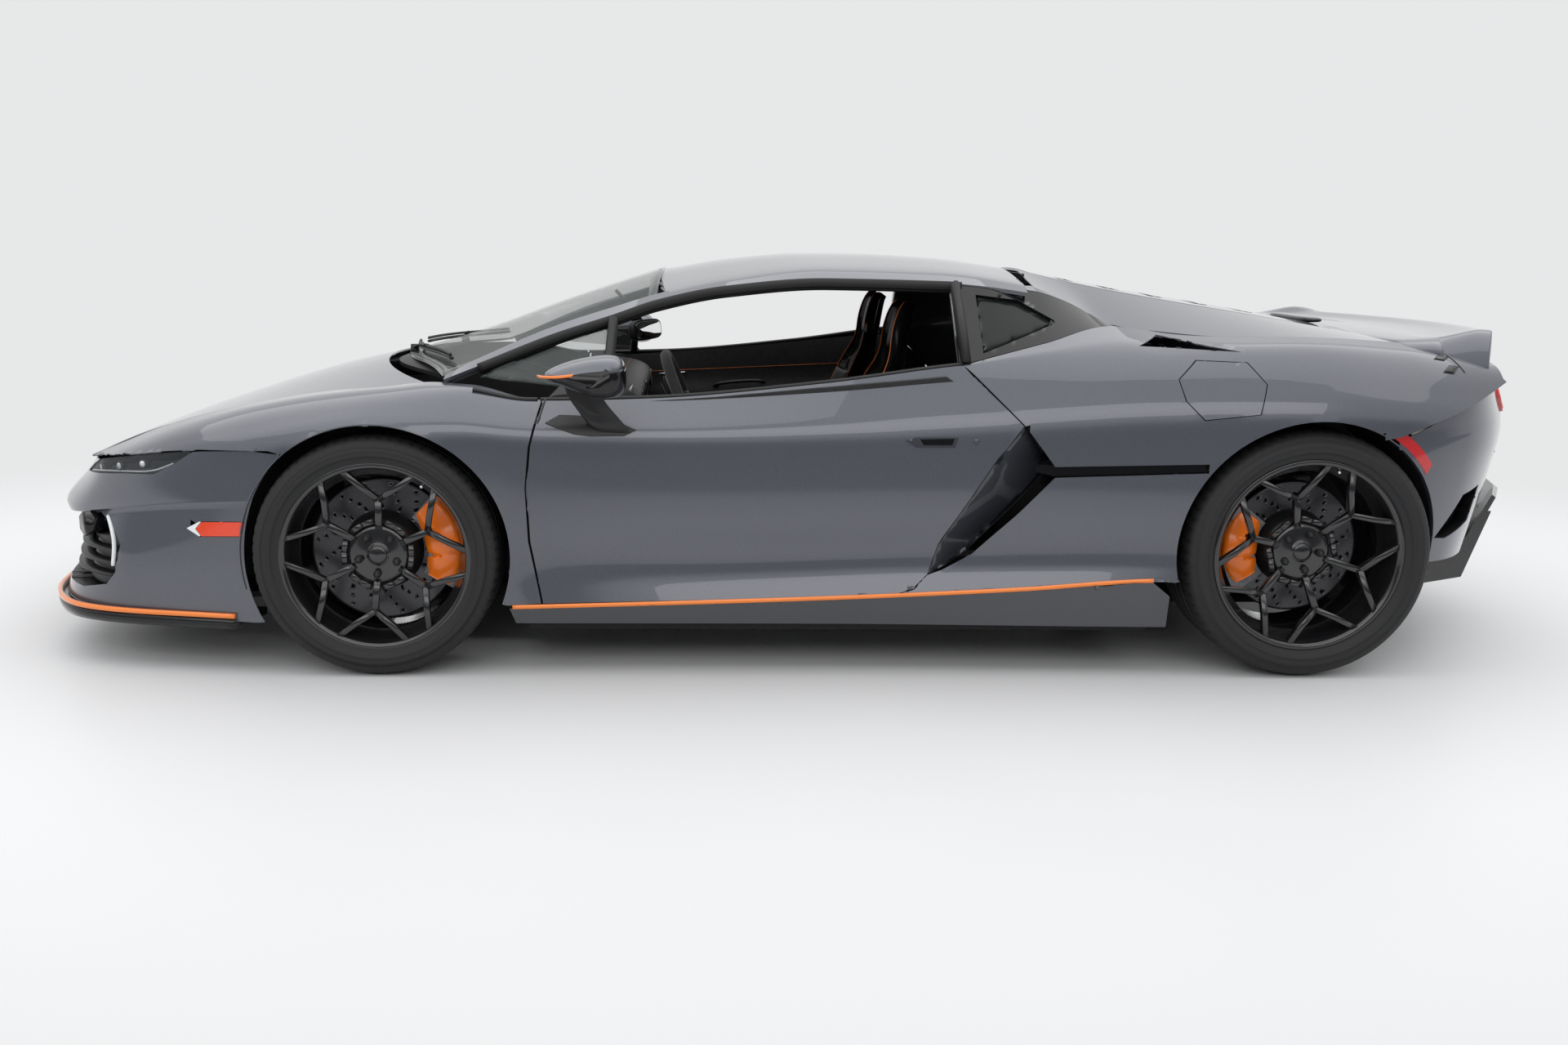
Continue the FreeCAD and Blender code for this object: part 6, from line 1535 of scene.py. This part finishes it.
def door_lining(u, v):
    """The door's inner face: length u and height v, an arm rest standing proud and a bin sunk below it."""
    rest = np.exp(-((v - .64 - .05 * u) / .035) ** 2) * np.clip((u + .62) / .12, 0, 1)
    hollow = np.clip(1 - np.abs((v - .4) / .115) ** 4, 0, 1) * np.clip(1 - np.abs((u + .28) / .34) ** 6, 0, 1)
    lean = .02 * np.clip((v - .7) / .18, 0, 1) ** 2
    return np.stack([u, -.818 + .024 * rest - .026 * hollow - lean, v], axis=1)


DOOR_LINING = [
    (-.755, .262), (.16, .282), (.255, .33), (.4, .56), (.47, .7), (.4, .835), (.345, .868), (-.3, .8),
    (-.745, .765), (-.785, .6), (-.79, .45),
]
shape = flipped(*cut_panel(door_lining, steps(-.8, .48, .02), steps(.25, .88, .02), DOOR_LINING))
seam_line = door_lining(np.linspace(-.72, .38, 80), np.linspace(.7, .76, 80)) + (0, .0015, 0)
PULL_PATH = [(-.3, -.8, .655), (-.28, -.77, .672), (-.13, -.768, .684), (-.11, -.798, .672)]
RELEASE_PATH = [(-.52, -.812, .7), (-.5, -.796, .702), (-.44, -.795, .706), (-.42, -.812, .708)]
stitches = carried(seam_line, oval(.0022, .0022, 5))
pull = carried(smooth_path(PULL_PATH, 30), oval(.026, .014))
release = carried(smooth_path(RELEASE_PATH, 20), oval(.014, .008))
both("door_lining", shape, hide, "cabin_trim", "door_{}", depth=0.05, rim=0.004)
both("door_stitching", stitches, thread, "cabin_trim", "door_{}", depth=0)
both("door_pull", pull, hide, "cabin_trim", "door_{}", depth=0)
both("door_release", release, bright_metal, "cast_metal", "door_{}", depth=0)

# Seats
# Each bucket seat is a hard black shell, sloped back, with slots for a harness.
# Stuffed pads of suede cloth and hide are laced on, and the shell stands on two rails.
SEAT_SPINE = [(-.292, .338), (-.245, .352), (-.12, .318), (.03, .292), (.115, .3), (.158, .38), (.196, .52),
              (.232, .66), (.258, .78), (.276, .87), (.288, .95), (.3, 1.022), (.308, 1.036)]
SEAT_HALF = [.175, .2, .214, .218, .214, .212, .216, .222, .205, .14, .128, .112, .088]
SEAT_WING = [.01, .045, .075, .095, .11, .118, .112, .105, .08, .05, .058, .048, .03]


def seat_shell(middle):
    """Places u along the seat's spine, v across: edges curl towards the sitter with the power 2.6 of v."""
    spine, half, wing = np.array(SEAT_SPINE), np.array(SEAT_HALF), np.array(SEAT_WING)

    def point(u, v):
        weights = blend(u, [.5] * len(half))
        centre, wide, curl = weights @ spine, weights @ half, weights @ wing
        run = unit((blend(u + .01, [.5] * len(half)) - blend(u - .01, [.5] * len(half))) @ spine)
        rise = np.abs(v) ** 2.6 * curl
        return np.stack([centre[:, 0] - run[:, 1] * rise, middle + wide * v, centre[:, 1] + run[:, 0] * rise],
                        axis=1)

    return point


def pad(surface, first, last, left, right, thick, channels=(), across=()):
    """A stuffed pad on the shell, its border drawn down to the shell and pulled in between the corners.

    Its height is the thickness times the power .3 of (1 - a^6)(1 - b^6), less a groove at each sewn channel.
    """
    rows, columns = 35, 31
    across_steps, along_steps = np.linspace(-1, 1, columns), np.linspace(-1, 1, rows)
    a, b = (grid.ravel() for grid in np.meshgrid(along_steps, across_steps, indexing="ij"))
    u = first + (last - first) * (a * (1 - .025 * (1 - b ** 2)) + 1) / 2
    v = left + (right - left) * (b * (1 - .03 * (1 - a ** 2)) + 1) / 2
    height = thick * (np.clip((1 - a ** 6) * (1 - b ** 6), 0, 1) ** .3 * .8 + .2 * (1 - a ** 2)
                      * (1 - b ** 2))
    for place in channels:
        height = height - .42 * thick * np.exp(-((a - place) / .045) ** 2) * (1 - b ** 6)
    for place in across:
        height = height - .35 * thick * np.exp(-((b - place) / .045) ** 2) * (1 - a ** 6)
    top = sunk(surface, -(np.clip(height, 0, None) + .0015)[:, None])(u, v)
    base = sunk(surface, -.0015)(u, v)
    faces = lattice(rows, columns).tolist()
    return joined((top, faces), flipped(base, faces))


FRONT_VIEW = np.array([(0, 0), (1, 0), (0, 1)], dtype=float)
PADS = {
    "cushion": (.5, 4.1, -.66, .66, .04, (-.45, .05, .5), ()),
    "thigh_pad_in": (.6, 4.3, .7, .97, .026, (), ()),
    "thigh_pad_out": (.6, 4.3, -.97, -.7, .026, (), ()),
    "lumbar_pad": (4.9, 6.5, -.64, .64, .04, (-.35, .35), ()),
    "back_pad": (6.58, 8.25, -.62, .62, .034, (-.3, .32), ()),
    "side_pad_in": (5.0, 7.7, .68, .97, .026, (.1,), ()),
    "side_pad_out": (5.0, 7.7, -.97, -.68, .026, (.1,), ()),
    "head_pad": (9.25, 11.3, -.78, .78, .034, (), (-.33, .33)),
}
SUEDE_PADS = ("cushion", "lumbar_pad", "back_pad")
HARNESS_SLOT = [(.05, .805), (.105, .812), (.098, .842), (.052, .838)]
SEAT_FRAME = [(-.3, .2), (.3, .2), (.3, 1.1), (-.3, 1.1)]
for hand, middle in (("left", -.39), ("right", .39)):
    shell_surface = seat_shell(middle)
    slots = [[(middle + way * y, z) for y, z in HARNESS_SLOT] for way in (-1, 1)]
    frame_ring = [(middle + y, z) for y, z in SEAT_FRAME]
    back = cut_panel(shell_surface, steps(5, 12, .1), steps(-1, 1, .06), frame_ring, slots, FRONT_VIEW)
    base = grid_sheet(shell_surface, steps(0, 5, .08), steps(-1, 1, .05))
    dressed("seat_shell_" + hand, *joined(back, base), gloss_black, "black_gloss", depth=0.012, rim=0.002,
            replaces=("seat_" + hand,))
    for part, values in PADS.items():
        cover = suede if part in SUEDE_PADS else hide
        name = "seat_" + part + "_" + hand
        stuffed = dressed(name, *pad(shell_surface, *values), cover, "seat_hide", depth=0)
    edge_run = np.linspace(4.9, 11.6, 120)
    edge = sunk(shell_surface, -.003)
    trim = [carried(edge(edge_run, np.full(120, way * .985)), oval(.004, .004, 6), (0, 1, 0))
            for way in (-1, 1)]
    dressed("seat_stitching_" + hand, *joined(*trim), thread, "seat_hide", depth=0)
    sides = (middle - .17, middle + .17)
    rails = [barrel((-.24, y, .165), (.2, y, .165), .014, 12) for y in sides]
    stands = [barrel((x, y, .15), (x, y, .3), .013, 12) for y in sides for x in (-.2, .12)]
    dressed("seat_mounts_" + hand, *joined(*rails, *stands), satin_black, "cast_metal", depth=0)

# Dashboard
# A hide-covered moulding with a hood over the dials and hexagonal vents is bolted across the cabin.
# A hide-covered console with a glass screen and switches runs back from it between the seats.
DASH_SECTION = [
    (-.812, .585), (-.815, .7), (-.812, .768), (-.72, .78), (-.62, .772), (-.56, .748), (-.54, .712),
    (-.556, .668), (-.59, .622), (-.612, .58), (-.66, .548), (-.74, .548),
]


def dash_skin(u, v):
    """Width u and place v round the section; a hood rises over the dials, and the lower half draws back."""
    ring = np.array(DASH_SECTION)
    wrapped = np.concatenate([ring[-1:], ring, ring[:2]])
    place = blend(v + 1, [.5] * len(wrapped)) @ wrapped
    hood_share = np.exp(-((u + .39) / .15) ** 4)
    upper = np.clip((place[:, 1] - .7) / .06, 0, 1) * np.clip((place[:, 0] + .72) / .1, 0, 1)
    far = np.clip((np.abs(u) - .14) / .12, 0, 1) * np.clip((.7 - place[:, 1]) / .08, 0, 1)
    return np.stack([place[:, 0] + .03 * hood_share * upper - .04 * far, u,
                     place[:, 1] + .006 * hood_share * upper], axis=1)


dash_widths, dash_round = steps(-.688, .688, .02), np.linspace(0, 12, 97)
points, faces = grid_sheet(dash_skin, dash_widths, dash_round)
around, last_row = len(dash_round) - 1, (len(dash_widths) - 1) * len(dash_round)
end_faces = [tuple(range(around)), tuple(range(last_row, last_row + around))[::-1]]
dressed("dashboard_skin", points, faces + end_faces, hide, "cabin_trim", depth=0, replaces=("dashboard",))


def console_skin(u, v):
    """Length u along the console's top and v across; the sides fall with the eighth power of v."""
    top = blend(u, [.5] * 5) @ np.array([(-.585, .65), (-.5, .6), (-.41, .48), (-.3, .44), (.15, .436)])
    drop = np.abs(v) ** 8
    return np.stack([top[:, 0], .118 * v, top[:, 1] - .105 * drop], axis=1)


shape = flipped(*grid_sheet(console_skin, steps(0, 4, .06), np.linspace(-1, 1, 49)))
dressed("console_skin", *shape, hide, "cabin_trim", depth=0.004, rim=0)


def plate(centre, across, up, half_wide, half_high, deep, power=5.0, count=48):
    """A rounded slab: its outline a superellipse of the given power, its front a little smaller."""
    centre, across, up = (np.array(value, dtype=float) for value in (centre, across, up))
    across, up = unit(across), unit(up)
    front = np.cross(across, up)
    a = turns(count)
    cos, sin = np.cos(a), np.sin(a)
    outline = (np.sign(cos) * np.abs(cos) ** (2 / power))[:, None] * across * half_wide
    outline = outline + (np.sign(sin) * np.abs(sin) ** (2 / power))[:, None] * up * half_high
    rows = [centre - front * deep + outline * .94, centre - front * deep * .8 + outline,
            centre - front * .002 + outline, centre + outline * .975]
    return np.concatenate(rows), tube(4, count, True)


ACROSS = (0, 1, 0)
display = plate((-.478, 0, .592), ACROSS, (.45, 0, .89), .088, .06, .012)
dressed("console_display", *display, gloss_black, "black_gloss", depth=0)
dials = plate((-.558, -.39, .735), ACROSS, (-.25, 0, .97), .115, .038, .016)
dressed("dial_display", *dials, gloss_black, "black_gloss", depth=0)
vents = []
for middle in (-.615, -.165, .165, .615):
    corners = np.radians(np.arange(0, 360, 60))
    hoop = np.stack([0 * corners - .548, middle + .048 * np.cos(corners), .705 + .03 * np.sin(corners)],
                    axis=1)
    vents.append(carried(smooth_path(hoop, 48, .2, closed=True), oval(.009, .012), (1, 0, 0), True))
    for level in (-.012, 0, .012):
        vents.append(plate((-.552, middle, .705 + level), ACROSS, (0, 0, 1), .036, .0022, .02, 3.0, 16))
dressed("dash_vents", *joined(*vents), satin_black, "black_trim", depth=0)
switches = [plate((-.2 + .05 * place, .0, .4405), ACROSS, (-1, 0, .0), .016, .018, .01, 4.0, 24)
            for place in range(5)]
switches.append(plate((-.345, 0, .462), ACROSS, (-.93, 0, .36), .03, .034, .02, 2.6, 32))
dressed("console_switches", *joined(*switches), satin_black, "black_trim", depth=0)
top_seam = dash_skin(np.linspace(-.66, .66, 120), np.full(120, 4.0)) + (.0005, 0, .001)
dressed("dash_stitching", *carried(top_seam, oval(.002, .002, 5)), thread, "cabin_trim", depth=0)

# Steering wheel
# A flat-bottomed rim in suede cloth stands on a cast frame with four arms, fixed to the column.
# A plain hide pad covers the hub, and two shift paddles are screwed on behind it.
STEER_CENTRE = np.array((-.395, -.39, .708))
STEER_LEAN = math.radians(22)
STEER_AXIS = np.array((math.cos(STEER_LEAN), 0, math.sin(STEER_LEAN)))
STEER_UP = np.array((-math.sin(STEER_LEAN), 0, math.cos(STEER_LEAN)))


def on_wheel(across, up, out=0.0):
    """Places in the steering wheel's own plane, out towards the driver."""
    across, up = np.asarray(across, dtype=float), np.asarray(up, dtype=float)
    return STEER_CENTRE + across[..., None] * np.array((0, 1, 0)) + up[...,
                                                                       None] * STEER_UP + out * STEER_AXIS


a = turns(120)
rim_up = .177 * np.sin(a)
rim_up = np.where(rim_up < -.14, -.14 + (rim_up + .14) * .25, rim_up)
rim_mesh = carried(on_wheel(.177 * np.cos(a), rim_up), oval(.03, .034, 16), tuple(STEER_AXIS), True)
dressed("steering_rim", *rim_mesh, suede, "seat_hide", "steering_wheel", depth=0,
        replaces=("steering_wheel",))
ARMS = [((-.04, .004), (-.1, .014), (-.166, .01)), ((.04, .004), (.1, .014), (.166, .01)),
        ((-.018, -.035), (-.026, -.09), (-.034, -.146)), ((.018, -.035), (.026, -.09), (.034, -.146))]
spokes = []
for arm in np.array(ARMS):
    wide = .013 if abs(arm[0, 0]) < .03 else .034
    path = smooth_path(on_wheel(arm[:, 0], arm[:, 1]), 16)
    spokes.append(carried(path, oval(wide, .011, 12), tuple(STEER_AXIS)))
dressed("steering_spokes", *joined(*spokes), satin_black, "cast_metal", "steering_wheel", depth=0)
hub_pad = plate(STEER_CENTRE + STEER_AXIS * .022, ACROSS, STEER_UP, .058, .048, .04, 3.2)
dressed("steering_hub_pad", *hub_pad, hide, "seat_hide", "steering_wheel", depth=0)
paddles = [plate(on_wheel(way * .118, .045, -.036), (0, 1, way * .35), STEER_UP, .024, .062, .006, 3.0, 32)
           for way in (-1, 1)]
dressed("shift_paddles", *joined(*paddles), satin_black, "cast_metal", "steering_wheel", depth=0)
column = barrel(STEER_CENTRE - STEER_AXIS * .05, STEER_CENTRE - STEER_AXIS * .155, .032, 24)
dressed("steering_column", *column, satin_black, "black_trim", depth=0)

# Inner mirror
# A slim frameless mirror of silvered glass in a black moulded case, turned to the driver.
# Its stem is bonded to the head of the screen.
MIRROR_TURN = math.radians(20)
MIRROR_UP = (-.12, 0, 1)
mirror_across = (math.sin(MIRROR_TURN), math.cos(MIRROR_TURN), 0)
mirror_place = np.array((-.53, 0, .925))
case = plate(mirror_place, mirror_across, MIRROR_UP, .118, .034, .026, 4.0)
dressed("inner_mirror_case", *case, satin_black, "black_trim", depth=0)
mirror_face = scuffed(finish("mirror_silver", (.86, .87, .88), 0.02, metallic=1.0), 5.0, 0.01, 0.03)
front_place = mirror_place + np.cross(mirror_across, MIRROR_UP) * .0015
silvered = plate(front_place, mirror_across, MIRROR_UP, .11, .028, .002, 4.0)
dressed("inner_mirror_glass", *silvered, mirror_face, "window_glass", depth=0)
STEM_PATH = [(-.548, 0, .945), (-.575, 0, .985), (-.64, 0, 1.055)]
stem = carried(smooth_path(STEM_PATH, 24), oval(.016, .012))
dressed("inner_mirror_stem", *stem, satin_black, "black_trim", depth=0)

# Door details
# Each door has a flush handle in a shallow recess and a round lock beside it, both in the body paint darkened
# as painted shade.
# The handle's slit is cut through the skin, and the lock is a turned metal plug.
RECESS = [(.226, .684), (.258, .694), (.376, .695), (.366, .667), (.258, .666)]
HANDLE_SLIT = [(.267, .689), (.364, .692), (.358, .674), (.278, .673)]
# The recess takes the darkened body paint as painted shade; the slit is black gloss.
for name, ring, sunk_finish, slot, lift, along, rim in (("handle_recess", RECESS, paint_shadow, "paint",
                                                         .0012, (.21, .39), .0006),
                                                        ("handle_slit", HANDLE_SLIT, gloss_black,
                                                         "black_gloss", .0022, (.25, .38), .0005)):
    sheet = lifted(*cut_panel(side, steps(*along, .004), steps(2.6, 3.1, .02), ring), lift)
    both(name, sheet, sunk_finish, slot, "door_{}", depth=0.002, rim=rim)
lock_place = side(np.array([.4255]), np.array([2.83]))[0]
lock = joined(barrel(lock_place + (0, .004, 0), lock_place - (0, .0022, 0), .0085, 28, .9),
              barrel(lock_place - (0, .0022, 0), lock_place - (0, .003, 0), .0055, 24, .9))
both("door_lock", lock, paint_shadow, "paint", "door_{}", depth=0)

# Frame parts that show
# The welded tub, the cast suspension, the engine and the steel exhaust keep their built shapes.
# So do the diffuser, the cowl and the rear glass; each gets its own finish.
tub_black = finish("tub_black", (.013, .013, .014), 0.75)
speckle(tub_black, 300.0, (.01, .01, .011), (.018, .018, .019))
grained(tub_black, 800.0, 0.0004)
cast_alloy = finish("cast_alloy", (.2, .2, .21), 0.52, metallic=0.85)
speckle(cast_alloy, 240.0, (.15, .15, .16), (.25, .25, .26))
grained(cast_alloy, 900.0, 0.0003)
engine_alloy = finish("engine_alloy", (.055, .055, .058), 0.5, metallic=0.6)
speckle(engine_alloy, 120.0, (.04, .04, .042), (.075, .075, .078))
grained(engine_alloy, 500.0, 0.0006)
exhaust_steel = finish("exhaust_steel", (.2, .19, .18), 0.32, metallic=1.0)
speckle(exhaust_steel, 30.0, (.13, .115, .1), (.26, .25, .25))
scuffed(exhaust_steel, 90.0, 0.22, 0.45)
carbon_black = finish("carbon_black", (.014, .014, .015), 0.26, coat=0.9)
speckle(carbon_black, 380.0, (.008, .008, .009), (.026, .026, .028), 0.48, 0.52, 0.0)
grained(carbon_black, 700.0, 0.00008)
FRAME_FINISHES = {
    "cabin_tub": tub_black, "suspension": cast_alloy, "knuckle_front_left": cast_alloy,
    "knuckle_front_right": cast_alloy, "rear_carriers": cast_alloy, "engine": engine_alloy,
    "exhaust": exhaust_steel,
    "diffuser": carbon_black, "wiper_cowl": cowl_finish, "rear_glass": tinted,
}
for node_name, node_finish in FRAME_FINISHES.items():
    slots_of_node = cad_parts[node_name].data.materials
    slots_of_node.clear()
    slots_of_node.append(node_finish)
